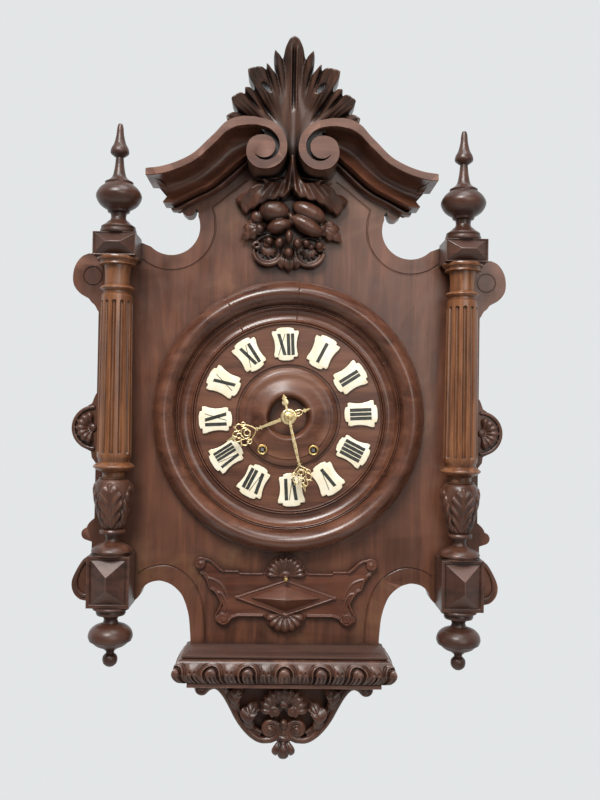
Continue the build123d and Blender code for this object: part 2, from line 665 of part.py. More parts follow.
def pallet_anchor():
    """Anchor with two pallets, its arbor, and the crutch behind the back plate."""
    tip_x = PALLET_CLEAR_R * sin(radians(PALLET_TURN))
    tip_z = ESCAPE_AT[1] + PALLET_CLEAR_R * cos(radians(PALLET_TURN))
    half = [
        (0, PALLET_Z + 4), (7, PALLET_Z + 1), (tip_x + 3.5, tip_z + 1), (tip_x, tip_z),
        (5, PALLET_Z - 3.5), (0, PALLET_Z - 2.5),
    ]
    anchor = slab(symmetric(half), ESCAPE_Y[0] - 0.5, ESCAPE_Y[1] + 0.5)
    shaft = rod_y(0, PALLET_Z, ARBOR_R, PLATE_INNER_Y + 0.4, BACK_PLATE_Y - 0.4)
    shaft += rod_y(0, PALLET_Z, PIVOT_R, FRONT_PLATE_Y + 0.2, CRUTCH_Y[1])
    collet = rod_y(0, PALLET_Z, 2.5, CRUTCH_Y[0] - 1, CRUTCH_Y[1])
    stem = box(-1, 1, CRUTCH_Y[0], CRUTCH_Y[1], FORK_Z, PALLET_Z)
    bridge = box(-4.2, 4.2, CRUTCH_Y[0], CRUTCH_Y[1], FORK_Z - 3, FORK_Z)
    crutch = stem + bridge
    for side in SIDES:
        inner = ROD_HALF + 0.4
        outer = ROD_HALF + 2.2
        crutch += box(min(side * inner, side * outer), max(side * inner, side * outer), CRUTCH_Y[1],
                      PENDULUM_Y + 1, FORK_Z - 3, FORK_Z)
    return anchor + shaft + collet + crutch


def suspension_cock():
    """Bracket on the back plate with a slotted nose that carries the suspension strip."""
    foot = box(-16, 16, BACK_PLATE_Y + PLATE_T, BACK_PLATE_Y + PLATE_T + 2, 55.5, 63.5)
    nose = box(-5, 5, BACK_PLATE_Y + PLATE_T + 2, PENDULUM_Y + 4, 57.5, 63.5)
    slot = box(-1.2, 1.2, PENDULUM_Y - 4.5, PENDULUM_Y + 5, 57, 62)
    return foot + nose - slot


def pendulum_rod():
    """Suspension strip, flat steel rod and threaded tail in one line."""
    strip = box(-0.3, 0.3, PENDULUM_Y - 3, PENDULUM_Y + 3, 44, 61)
    clip = box(-3, 3, PENDULUM_Y - 3.5, PENDULUM_Y + 3.5, 38, 46)
    thread_top = BOB_Z - BOB_R + 7
    blade = box(-ROD_HALF, ROD_HALF, PENDULUM_Y - 1, PENDULUM_Y + 1, thread_top, 40)
    thread = rod_z(0, PENDULUM_Y, 1.4, BOB_Z - BOB_R - 16, thread_top)
    return strip + clip + blade + thread


def pendulum_bob():
    """Lens-shaped brass bob with a slot for the rod."""
    lens = outline((0, -9), [(15, -7), (24, -2.6), (BOB_R, -1)], (BOB_R, 1), [(24, 2.6), (15, 7), (0, 9)])
    bob = Pos(0, PENDULUM_Y, BOB_Z) * revolve(lens, Axis.Y, 360)
    slot_x = ROD_HALF + 0.3
    return bob - box(-slot_x, slot_x, PENDULUM_Y - 1.6, PENDULUM_Y + 1.6, BOB_Z - 40, BOB_Z + 40)


def rating_nut():
    """Milled nut that carries the bob."""
    z1 = BOB_Z - BOB_R - 1.0
    nut = rod_z(0, PENDULUM_Y, 5, z1 - 4, z1)
    return nut - rod_z(0, PENDULUM_Y, 1.4 + RUNNING_GAP, z1 - 5, z1 + 1)


# Motion work and hands

CANNON_Y = (13.5, 18.5)
MINUTE_WHEEL_Y = (15.0, 16.5)
HOUR_WHEEL_Y = (11.0, 12.5)
HOUR_HAND_Y = (-22.0, -20.8)
MINUTE_HAND_Y = (-26.0, -24.8)
HAND_TIP_Y = -30.0
MINUTE_HAND_TURN = 166.5    # clockwise from twelve, seen from the front
HOUR_HAND_TURN = 248.0


def cannon_pinion():
    """Tube over the centre arbor: pinion behind, minute hand seat in front."""
    tube = rod_y(0, 0, 2.4, MINUTE_HAND_Y[1], 19)
    tube += gear(CANNON[0], wheel_r(CANNON), CANNON_Y[0], CANNON_Y[1], 0, 0, bearing(CENTRE_AT, MINUTE_AT),
                 tip=0.5, root=0.9, share=0.34)
    return tube - rod_y(0, 0, CENTRE_JOURNAL_R + RUNNING_GAP, HAND_TIP_Y, 20)


def minute_wheel():
    wheel = gear(CANNON[1], pinion_r(CANNON), *MINUTE_WHEEL_Y, *MINUTE_AT,
                 in_mesh(CENTRE_AT, MINUTE_AT, CANNON[1]), tip=0.5, share=0.34)
    wheel += gear(MINUTE[0], wheel_r(MINUTE), HOUR_WHEEL_Y[0] - 0.5, MINUTE_WHEEL_Y[0], *MINUTE_AT,
                  bearing(MINUTE_AT, CENTRE_AT), tip=0.6, root=0.7)
    return wheel - rod_y(MINUTE_AT[0], MINUTE_AT[1], STUD_R + RUNNING_GAP, 5, FRONT_PLATE_Y)


def hour_wheel():
    wheel = gear(MINUTE[1], pinion_r(MINUTE), HOUR_WHEEL_Y[0], HOUR_WHEEL_Y[1], 0, 0,
                 in_mesh(MINUTE_AT, CENTRE_AT, MINUTE[1]))
    wheel += rod_y(0, 0, 3.6, HOUR_HAND_Y[1], HOUR_WHEEL_Y[1])
    return wheel - rod_y(0, 0, 2.4 + RUNNING_GAP, HOUR_HAND_Y[0] - 1, HOUR_WHEEL_Y[1] + 1)


def ring(x, z, outer, inner, y0, y1):
    return rod_y(x, z, outer, y0, y1) - rod_y(x, z, inner, y0 - 1, y1 + 1)


def openwork_hand(length, cluster_r, tail, hub_r, hole_r, y, turn):
    """Gilt hand: slim blade, a cluster of rings before the tip, and a pierced tail."""
    blade_top = cluster_r - 9
    point_low = cluster_r + 6
    blade = slab(make_face(Polyline((-2.2, 0), (-1.0, blade_top), (1.0, blade_top), (2.2, 0), close=True)), *y)
    point = slab(make_face(Polyline((-2.6, point_low), (0, length), (2.6, point_low), close=True)), *y)
    hand = rod_y(0, 0, hub_r, *y) + blade + point + ring(0, cluster_r, 7, 4.6, *y)
    hand += ring(0, cluster_r - 8, 3.4, 1.8, *y)
    for side in SIDES:
        hand += ring(side * 8, cluster_r - 3, 4.4, 2.6, *y)
    hand += slab(make_face(Polyline((-1.4, 0), (1.4, 0), (1.0, -tail), (-1.0, -tail), close=True)), *y)
    hand += ring(0, -tail + 5, 5, 3, *y)
    hand -= rod_y(0, 0, hole_r, y[0] - 1, y[1] + 1)
    return Rot(0, turn, 0) * hand


def hour_hand():
    return openwork_hand(75, 54, 26, 8.5, 2.4 + RUNNING_GAP, HOUR_HAND_Y, HOUR_HAND_TURN)


def minute_hand():
    return openwork_hand(87, 69, 26, 4.5, CENTRE_JOURNAL_R + RUNNING_GAP, MINUTE_HAND_Y, MINUTE_HAND_TURN)


def hand_nut():
    """Domed nut that holds the minute hand."""
    nut = rod_y(0, 0, 3.2, MINUTE_HAND_Y[0] - 2.4, MINUTE_HAND_Y[0])
    return nut - rod_y(0, 0, CENTRE_JOURNAL_R + RUNNING_GAP, HAND_TIP_Y - 1, MINUTE_HAND_Y[0] + 1)


# Strike train, hammer and gong

def fly():
    """Air brake: two vanes on the last strike arbor."""
    pinion = gear(STRIKE_THIRD[1], pinion_r(STRIKE_THIRD), THIRD_Y[0] - 1.5, THIRD_Y[1] + 1.5, *FLY_AT,
                  in_mesh(STRIKE_THIRD_AT, FLY_AT, STRIKE_THIRD[1]), tip=0.6, root=1.0, share=0.36)
    vanes = box(FLY_AT[0] - 9, FLY_AT[0] + 9, 49, 62, FLY_AT[1] - 0.4, FLY_AT[1] + 0.4)
    return arbor(FLY_AT) + pinion + vanes


GONG_AT = (0.0, -150.0)
GONG_Y = 95.0
GONG_R = 62.0
GONG_WIRE = 1.6
HEAD_X = 61.5
HEAD_Z = -112.0


def gong_ring():
    """Coiled gong wire, three rings deep, tied at its top into the gong block."""
    coil = None
    for turn in range(3):
        loop = Pos(GONG_AT[0], GONG_Y, GONG_AT[1]) * Rot(90, 0, 0) * Torus(GONG_R - 7 * turn, GONG_WIRE)
        coil = loop if coil is None else coil + loop
    return coil + box(-2.5, 2.5, GONG_Y - 2, GONG_Y + 2, GONG_AT[1] + GONG_R - 16, GONG_AT[1] + GONG_R + 2)


def gong_stand():
    """Iron block on the back panel that holds the gong."""
    return box(-7, 7, GONG_Y + 2, WALL_Y - PANEL_T, GONG_AT[1] + GONG_R - 18, GONG_AT[1] + GONG_R + 4)


def strike_hammer():
    """Hammer arbor in the plates with a rod and leather-faced head over the gong."""
    x, z = HAMMER_AT
    shaft = rod_y(x, z, ARBOR_R, PLATE_INNER_Y + 0.4, BACK_PLATE_Y - 0.4)
    shaft += rod_y(x, z, PIVOT_R, FRONT_PLATE_Y + 0.2, GONG_Y + 1)
    tail = box(x - 12, x, 40, 42, z - 1, z + 1)
    stem = box(x - 1, x + 1, GONG_Y - 1, GONG_Y + 1, HEAD_Z + 6, z)
    arm = box(x - 1, HEAD_X, GONG_Y - 1, GONG_Y + 1, HEAD_Z + 6, HEAD_Z + 8)
    head = box(HEAD_X - 5, HEAD_X + 5, GONG_Y - 3.5, GONG_Y + 3.5, HEAD_Z - 6, HEAD_Z + 6)
    return shaft + tail + stem + arm + head


# Writing the sub-parts

save("main_board", main_board())
save("dial_bezel", dial_bezel())
save("dial_plate", dial_plate())
save("winding_grommets", *[winding_grommet(side) for side in SIDES])
save("hour_plaques", *[hour_plaque(hour) for hour in range(1, 13)])
save("pediment_moulding_right", pediment_moulding())
save("pediment_moulding_left", mirrored(pediment_moulding()))
save("crest_palmette", crest_palmette())
save("fruit_carving", fruit_carving())
save("strapwork_panel", strapwork_panel())
save("diamond_boss", diamond_boss())
save("shelf_moulding", shelf_moulding())
save("bracket_carving", bracket_carving())
for maker in (top_finial, top_block, column_shaft, column_vase, bottom_block, drop_finial):
    save(maker.__name__ + "s", *[maker(side) for side in SIDES])

case_left, case_top, case_bottom, back_panel = case_panels()
save("case_side_left", case_left)
save("case_top", case_top)
save("case_bottom", case_bottom)
save("back_panel", back_panel)
save("hanger_plate", hanger_plate())
save("side_door", side_door())
save("door_hinge_leaves", *[door_leaf(z) for z in HINGE_ZS])
save("case_hinge_leaves", *[case_leaf(z) for z in HINGE_ZS])
save("door_knob", door_knob())

save("front_plate", front_plate())
save("back_plate", movement_plate(BACK_PLATE_Y))
save("plate_pillars", *[pillar(x, z) for x, z in PILLARS])
save("pillar_nuts", *[pillar_nut(x, z) for x, z in PILLARS])
wood_screws = [corner_screw(x, z) for x, z in CORNER_SCREWS] + [hanger_screw(x) for x in HANGER_SCREW_X]
save("wood_screws", *wood_screws)
save("going_barrel", barrel(GOING_AT, INTERMEDIATE_AT))
save("strike_barrel", barrel(STRIKE_AT, PIN_AT))
save("going_winding_arbor", winding_arbor(GOING_AT))
save("strike_winding_arbor", winding_arbor(STRIKE_AT))
save("going_click", click(GOING_AT, 1))
save("strike_click", click(STRIKE_AT, -1))
save("intermediate_wheel", train_wheel(INTERMEDIATE_AT, GREAT, GOING_AT, GREAT_Y, INTERMEDIATE, CENTRE_AT,
                                       INTERMEDIATE_Y))
save("centre_wheel", centre_wheel())
save("third_wheel", train_wheel(THIRD_AT, CENTRE, CENTRE_AT, CENTRE_Y, THIRD, ESCAPE_AT, THIRD_Y))
save("escape_wheel", escape_wheel())
save("pallet_anchor", pallet_anchor())
save("suspension_cock", suspension_cock())
save("pendulum_rod", pendulum_rod())
save("pendulum_bob", pendulum_bob())
save("rating_nut", rating_nut())
save("cannon_pinion", cannon_pinion())
save("minute_wheel", minute_wheel())
save("hour_wheel", hour_wheel())
save("hour_hand", hour_hand())
save("minute_hand", minute_hand())
save("hand_nut", hand_nut())
save("strike_pin_wheel",
     train_wheel(PIN_AT, GREAT, STRIKE_AT, GREAT_Y, PIN_WHEEL, STRIKE_THIRD_AT, INTERMEDIATE_Y))
save("strike_third_wheel",
     train_wheel(STRIKE_THIRD_AT, PIN_WHEEL, PIN_AT, INTERMEDIATE_Y, STRIKE_THIRD, FLY_AT, THIRD_Y))
save("strike_fly", fly())
save("strike_hammer", strike_hammer())
save("gong", gong_ring())
save("gong_stand", gong_stand())
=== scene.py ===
import json
import math

import bmesh
import bpy
import numpy as np
from mathutils import Matrix, Vector


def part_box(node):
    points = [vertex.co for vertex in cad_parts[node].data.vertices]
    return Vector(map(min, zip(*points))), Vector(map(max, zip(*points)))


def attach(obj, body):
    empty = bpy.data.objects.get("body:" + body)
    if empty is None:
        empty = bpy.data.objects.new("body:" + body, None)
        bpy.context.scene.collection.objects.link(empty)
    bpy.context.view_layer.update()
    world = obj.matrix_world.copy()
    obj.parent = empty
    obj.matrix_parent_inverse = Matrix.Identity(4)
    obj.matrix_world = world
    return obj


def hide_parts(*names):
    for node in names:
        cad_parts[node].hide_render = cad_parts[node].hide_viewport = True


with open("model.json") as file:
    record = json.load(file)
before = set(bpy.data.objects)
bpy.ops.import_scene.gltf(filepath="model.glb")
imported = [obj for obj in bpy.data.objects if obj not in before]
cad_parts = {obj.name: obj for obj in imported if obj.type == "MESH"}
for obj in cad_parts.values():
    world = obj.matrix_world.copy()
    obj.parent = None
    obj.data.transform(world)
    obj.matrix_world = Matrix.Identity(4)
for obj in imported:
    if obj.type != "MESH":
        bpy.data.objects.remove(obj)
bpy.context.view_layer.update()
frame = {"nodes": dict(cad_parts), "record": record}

# The visual model of a carved pendulum wall clock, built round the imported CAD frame.
# Shapes are drawn in millimetres about the dial centre: +X to the viewer's right, +Z up,
# Y = 0 on the board's front face and -Y towards the viewer.

MM = 0.001
BEZEL_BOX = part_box("dial_bezel")
BOARD_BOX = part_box("main_board")
ORIGIN = np.array([(BEZEL_BOX[0].x + BEZEL_BOX[1].x) / 2, BOARD_BOX[0].y,
                   (BEZEL_BOX[0].z + BEZEL_BOX[1].z) / 2])
TAU = 2 * math.pi
TO_VIEWER = (0.0, -1.0, 0.0)
RELIEF_VOXEL = 0.7


# ---------------------------------------------------------------- curves and meshes

def smooth(points, steps=8):
    """Catmull-Rom curve through the points, as an array."""
    p = np.array(points, float)
    ends = np.vstack([2 * p[0] - p[1], p, 2 * p[-1] - p[-2]])
    rows = []
    for i in range(len(p) - 1):
        a, b, c, d = ends[i:i + 4]
        for t in np.linspace(0, 1, steps, endpoint=False):
            rows.append(0.5 * (2 * b + (c - a) * t + (2 * a - 5 * b + 4 * c - d) * t ** 2
                               + (3 * b - a - 3 * c + d) * t ** 3))
    rows.append(p[-1])
    return np.array(rows)


def outline(*stops, steps=6):
    """Points of a path: a tuple is a corner, a list a smooth curve through its points."""
    rows = [np.array(stops[0], float)]
    for stop in stops[1:]:
        if isinstance(stop, list):
            rows.extend(smooth([rows[-1]] + stop, steps)[1:])
        else:
            rows.append(np.array(stop, float))
    return np.array(rows)


def arc(cx, cz, r, start, end, count=24):
    """Points on a circle in the X-Z plane, angles in degrees from +X towards +Z."""
    angles = np.radians(np.linspace(start, end, count))
    return np.column_stack([cx + r * np.cos(angles), cz + r * np.sin(angles)])


def both_sides(half):
    """Closed outline from its right half, listed from the top down to the bottom."""
    half = np.array(half, float)
    left = half[::-1] * [-1, 1]
    left = left[np.abs(left[:, 0]) > 1e-6]
    return np.vstack([half, left])


def at_depth(points, y):
    """X-Z points as X-Y-Z points at one depth or at a depth each."""
    points = np.array(points, float)
    depth = np.broadcast_to(y, len(points))
    return np.column_stack([points[:, 0], depth, points[:, 1]])


def grid_faces(rows, cols, wrap_rows=False, wrap_cols=False):
    faces = []
    for i in range(rows if wrap_rows else rows - 1):
        for j in range(cols if wrap_cols else cols - 1):
            i2 = (i + 1) % rows
            j2 = (j + 1) % cols
            faces.append((i * cols + j, i * cols + j2, i2 * cols + j2, i2 * cols + j))
    return faces


def two_faced(front, back):
    """Closed solid between two grids of points, joined round their rim."""
    rows, cols = front.shape[:2]
    n = rows * cols
    faces = grid_faces(rows, cols)
    faces += [tuple(n + k for k in reversed(f)) for f in grid_faces(rows, cols)]
    rim = list(range(cols)) + [i * cols + cols - 1 for i in range(1, rows)]
    rim += [(rows - 1) * cols + j for j in range(cols - 2, -1, -1)]
    rim += [i * cols for i in range(rows - 2, 0, -1)]
    for i, j in zip(rim, rim[1:] + rim[:1]):
        faces.append((j, i, n + i, n + j))
    return np.vstack([front.reshape(-1, 3), back.reshape(-1, 3)]), faces


def tube(path, radius, sides=10, flat=1.0):
    """Closed round or flattened rod along a 3-D path, with domed ends."""
    path = np.array(path, float)
    radii = np.broadcast_to(radius, len(path)).astype(float)
    tangent = np.gradient(path, axis=0)
    tangent /= np.linalg.norm(tangent, axis=1)[:, None] + 1e-9
    across = np.cross(tangent, np.broadcast_to(TO_VIEWER, path.shape))
    across /= np.linalg.norm(across, axis=1)[:, None] + 1e-9
    rise = np.cross(across, tangent)
    angles = np.linspace(0, TAU, sides, endpoint=False)
    rings = []
    for k in range(len(path)):
        ring = np.cos(angles)[:, None] * across[k] + flat * np.sin(angles)[:, None] * rise[k]
        rings.append(path[k] + radii[k] * ring)
    verts = np.vstack(rings + [path[:1] - tangent[:1] * radii[0] * 0.5,
                               path[-1:] + tangent[-1:] * radii[-1] * 0.5])
    faces = grid_faces(len(path), sides, wrap_cols=True)
    first = len(verts) - 2
    last = len(verts) - 1
    start = (len(path) - 1) * sides
    for j in range(sides):
        faces.append((first, (j + 1) % sides, j))
        faces.append((last, start + j, start + (j + 1) % sides))
    return verts, faces


def rod(points, y, radius, sides=10, flat=1.0):
    """Tube along X-Z points, at one depth or at a depth each."""
    return tube(at_depth(points, y), radius, sides, flat)


def ball(center, radii, turn=0.0):
    """Ellipsoid; turn is its clockwise tilt in the X-Z plane, in degrees."""
    rings, sides = 14, 22
    verts = []
    for i in range(rings + 1):
        polar = math.pi * i / rings
        for j in range(sides):
            a = TAU * j / sides
            verts.append((math.sin(polar) * math.cos(a), math.sin(polar) * math.sin(a), math.cos(polar)))
    verts = np.array(verts) * radii
    t = math.radians(turn)
    x = verts[:, 0] * math.cos(t) + verts[:, 2] * math.sin(t)
    z = -verts[:, 0] * math.sin(t) + verts[:, 2] * math.cos(t)
    verts = np.column_stack([x, verts[:, 1], z]) + center
    return verts, grid_faces(rings + 1, sides, wrap_cols=True)


def plate(points, y_front, y_back):
    """Flat closed slab from an X-Z outline; front and back are single faces."""
    n = len(points)
    verts = np.vstack([at_depth(points, y_front), at_depth(points, y_back)])
    faces = [tuple(range(n)), tuple(range(2 * n - 1, n - 1, -1))]
    for i in range(n):
        j = (i + 1) % n
        faces.append((i, i + n, j + n, j))
    return verts, faces


def leaf(path, width, lobes=0, camber=0.25, groove=0.9, flute=0.5, thick=3.0, notch=0.35, lean=0.5,
         swell=0.8, rows=56, cols=23, base=0.25):
    """Carved leaf along a 3-D path: lobed edge, midrib groove, oblique flutes and a domed face."""
    p = smooth(path, max(4, rows // (len(path) - 1)))
    rows = len(p)
    u = np.linspace(0, 1, rows)
    tangent = np.gradient(p, axis=0)
    tangent /= np.linalg.norm(tangent, axis=1)[:, None] + 1e-9
    across = np.cross(tangent, np.broadcast_to(TO_VIEWER, p.shape))
    across /= np.linalg.norm(across, axis=1)[:, None] + 1e-9
    normal = np.cross(across, tangent)
    envelope = np.maximum(np.sin(np.pi * u ** swell) ** 0.75, base * (1 - u) ** 0.5 * (u < 0.7))
    envelope = envelope * (1 - u ** 6) + 0.02
    v = np.linspace(-1, 1, cols)
    phase = np.pi * max(lobes, 1) * (u[:, None] - 0.02)
    scallop = np.abs(np.sin(phase)) ** 0.5 if lobes else np.ones((rows, 1))
    half = width * envelope[:, None] * (1 - notch * (1 - scallop))
    a = np.abs(v)[None, :]
    grid = p[:, None, :] + across[:, None, :] * (half * v)[..., None]
    grid = grid + tangent[:, None, :] * (lean * half * a ** 1.5)[..., None]
    height = camber * half * (1 - a ** 2)
    height = height - groove * np.exp(-(a / 0.1) ** 2) * np.minimum(1, half / 3)
    if lobes:
        veins = np.abs(np.cos(phase)) ** 6
        height = height - flute * veins * a ** 0.7 * np.minimum(1, half / 4)
    else:
        height = height + flute * np.cos(3 * np.pi * a) * (a > 0.2) * np.minimum(1, half / 4)
    front = grid + normal[:, None, :] * height[..., None]
    depth = thick * (1 - 0.6 * a ** 4) * np.minimum(1, 0.35 + half / 6)
    back = grid - normal[:, None, :] * depth[..., None]
    return two_faced(front, back)


def flip_x(part):
    verts, faces = part
    return verts * [-1, 1, 1], [tuple(reversed(f)) for f in faces]


def with_mirror(*parts):
    return list(parts) + [flip_x(part) for part in parts]


def joined(parts):
    verts = []
    faces = []
    count = 0
    for v, f in parts:
        verts.append(np.array(v, float))
        faces += [tuple(i + count for i in face) for face in f]
        count += len(v)
    return np.vstack(verts), faces


def mesh_object(name, parts):
    """One object from closed parts, with doubled points merged and faces turned outwards."""
    verts, faces = joined(parts)
    mesh = bpy.data.meshes.new(name)
    mesh.from_pydata((verts * MM + ORIGIN).tolist(), [], faces)
    obj = bpy.data.objects.new(name, mesh)
    bpy.context.scene.collection.objects.link(obj)
    weld(obj)
    return obj


def add_piece(name, parts, material, nodes=(), body="case", sharp=35.0):
    """Makes one piece from a closed part or a list of them and ties it to the frame."""
    obj = mesh_object(name, parts if isinstance(parts, list) else [parts])
    return finish_piece(obj, material, nodes, body, sharp)


def finish_piece(obj, material, nodes, body, sharp):
    shade(obj, sharp)
    obj.data.materials.clear()
    obj.data.materials.append(material)
    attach(obj, body)
    if nodes:
        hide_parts(*nodes)
    return obj


def weld(obj):
    """Merges doubled points and turns all faces outwards."""
    bm = bmesh.new()
    bm.from_mesh(obj.data)
    bmesh.ops.remove_doubles(bm, verts=bm.verts, dist=1e-6)
    bmesh.ops.dissolve_degenerate(bm, edges=bm.edges, dist=1e-7)
    bmesh.ops.recalc_face_normals(bm, faces=bm.faces)
    bm.to_mesh(obj.data)
    bm.free()


def shade(obj, sharp):
    obj.data.polygons.foreach_set("use_smooth", [True] * len(obj.data.polygons))
    obj.data.set_sharp_from_angle(angle=math.radians(sharp))


def apply_modifiers(obj):
    graph = bpy.context.evaluated_depsgraph_get()
    mesh = bpy.data.meshes.new_from_object(obj.evaluated_get(graph))
    old = obj.data
    obj.modifiers.clear()
    obj.data = mesh
    bpy.data.meshes.remove(old)


def fuse(obj, voxel):
    """Remeshes overlapping parts into one skin."""
    remesh = obj.modifiers.new("fuse", "REMESH")
    remesh.mode = "VOXEL"
    remesh.voxel_size = voxel * MM
    apply_modifiers(obj)


def soften(obj, rounds):
    smoothing = obj.modifiers.new("soften", "SMOOTH")
    smoothing.factor = 0.5
    smoothing.iterations = rounds
    apply_modifiers(obj)


def add_carving(name, parts, material, nodes=(), body="case", voxel=0.65, rounds=1,
                sharp=80.0):
    """Fuses overlapping parts into one carved solid and softens it a little."""
    obj = mesh_object(name, parts)
    fuse(obj, voxel)
    soften(obj, rounds)
    return finish_piece(obj, material, nodes, body, sharp)


def bevelled(obj, width, segments=2, angle=40.0):
    """Rounds an object's sharp edges."""
    bevel = obj.modifiers.new("bevel", "BEVEL")
    bevel.width = width * MM
    bevel.segments = segments
    bevel.limit_method = "ANGLE"
    bevel.angle_limit = math.radians(angle)
    bevel.harden_normals = False
    apply_modifiers(obj)


def flat_faces(obj):
    """Keeps broad faces evenly shaded up to their small rounded edges."""
    weighted = obj.modifiers.new("weighted", "WEIGHTED_NORMAL")
    weighted.keep_sharp = True
    apply_modifiers(obj)


def lathe_z(profile, x, y, sides=72, swell=None):
    """Profile of radius and height, turned about an upright axis; swell may vary the radius."""
    profile = np.array(profile, float)
    angles = np.linspace(0, TAU, sides, endpoint=False)
    rings = []
    for r, z in profile:
        radius = r + (swell(angles, z, r) if swell else 0 * angles)
        rings.append(np.column_stack([x + radius * np.cos(angles), y + radius * np.sin(angles),
                                      np.full(sides, z)]))
    return np.vstack(rings), grid_faces(len(profile), sides, wrap_cols=True)


def lathe_y(profile, sides=180, swell=None, x=0.0, z=0.0, closed=False):
    """Profile of radius and depth, turned about a front-to-back axis; swell may vary the depth."""
    profile = np.array(profile, float)
    angles = np.linspace(0, TAU, sides, endpoint=False)
    rings = []
    for r, y in profile:
        depth = y + (swell(angles, r, y) if swell else 0 * angles)
        rings.append(np.column_stack([x + r * np.sin(angles), depth, z + r * np.cos(angles)]))
    return np.vstack(rings), grid_faces(len(profile), sides, wrap_rows=closed, wrap_cols=True)


def relief_band(top, bottom, profile, y_back=0.0, setback=0.0):
    """Moulding between two edge lines: profile lists the share of the way across and the depth.

    The first end is cut back by setback in X where the profile lies deepest, as a returned end is."""
    cols = len(profile)
    rows = len(top)
    share = np.array([p[0] for p in profile])
    depth = np.array([p[1] for p in profile])
    top = np.array(top, float)
    bottom = np.array(bottom, float)
    xz = top[:, None, :] + (bottom - top)[:, None, :] * share[None, :, None]
    if setback:
        xz[0, :, 0] = top[0, 0] - setback * (depth - depth.min()) / (depth.max() - depth.min())
    front = np.dstack([xz[..., 0], np.broadcast_to(depth, (rows, cols)), xz[..., 1]])
    back = np.dstack([xz[..., 0], np.full((rows, cols), y_back), xz[..., 1]])
    return two_faced(front, back)


def stack(levels, x=0.0):
    """Rectangular solid in levels, each of half width, front depth, back depth and height."""
    verts = []
    for half, y_front, y_back, z in levels:
        verts += [(x - half, y_front, z), (x + half, y_front, z), (x + half, y_back, z),
                  (x - half, y_back, z)]
    faces = grid_faces(len(levels), 4, wrap_cols=True)
    last = 4 * (len(levels) - 1)
    faces += [(0, 1, 2, 3), (last + 3, last + 2, last + 1, last)]
    return np.array(verts, float), faces


def facet_block(x, half, z0, z1, y_margin, y_tip, margin, tip):
    """Square block with a pyramid on its front, inside a flat margin; tip is its half width and height."""
    mid = (z0 + z1) / 2
    rings = []
    for half_x, low, high, y in ((half, z0, z1, 0.0), (half, z0, z1, y_margin),
                                 (half - margin, z0 + margin, z1 - margin, y_margin),
                                 (half - margin - 0.7, z0 + margin + 0.7, z1 - margin - 0.7, y_margin + 1.2),
                                 (tip[0], mid - tip[1], mid + tip[1], y_tip)):
        rings += [(x - half_x, y, low), (x + half_x, y, low), (x + half_x, y, high), (x - half_x, y, high)]
    faces = grid_faces(5, 4, wrap_cols=True) + [(0, 1, 2, 3), (19, 18, 17, 16)]
    return np.array(rings, float), faces


def cut(obj, parts):
    """Subtracts closed parts from an object."""
    cutter = mesh_object("cutter", parts)
    boolean = obj.modifiers.new("cut", "BOOLEAN")
    boolean.operation = "DIFFERENCE"
    boolean.solver = "EXACT"
    boolean.object = cutter
    apply_modifiers(obj)
    bpy.data.objects.remove(cutter)


def spiral(cx, cz, r0, r1, start, turns, count=40):
    """Points of a spiral from radius r0 to r1, from start degrees; positive turns anticlockwise."""
    t = np.linspace(0, 1, count)
    a = math.radians(start) + TAU * turns * t
    r = r0 + (r1 - r0) * t
    return np.column_stack([cx + r * np.cos(a), cz + r * np.sin(a)])


def shell(cx, cz, radius, petals, start, end, y, lift=3.0):
    """Fan of ribbed petals round a point; angles in degrees from +X towards +Z."""
    parts = []
    step = (end - start) / petals
    for i in range(petals):
        a = math.radians(start + step * (i + 0.5))
        tip = np.array([math.cos(a), math.sin(a)])
        long = radius * (1 - 0.10 * abs(i - (petals - 1) / 2) / petals)
        path = [(cx + 2 * tip[0], y + 1.0, cz + 2 * tip[1]),
                (cx + 0.6 * long * tip[0], y - lift, cz + 0.6 * long * tip[1]),
                (cx + long * tip[0], y - 0.2 * lift, cz + long * tip[1])]
        width = 0.50 * long * math.radians(abs(step))
        parts.append(leaf(path, width, 0, 0.75, 0.0, 0.0, 3.0, rows=26, cols=13, swell=1.9, lean=0.1))
    return parts


def off_outline(points, x, z):
    """Distance of places to the nearest edge of a closed X-Z outline."""
    a = np.array(points, float)
    b = np.roll(a, -1, axis=0)
    best = np.full(len(x), 1e9)
    for (ax, az), (bx, bz) in zip(a, b):
        dx, dz = bx - ax, bz - az
        t = np.clip(((x - ax) * dx + (z - az) * dz) / (dx * dx + dz * dz + 1e-9), 0, 1)
        best = np.minimum(best, np.hypot(x - ax - t * dx, z - az - t * dz))
    return best


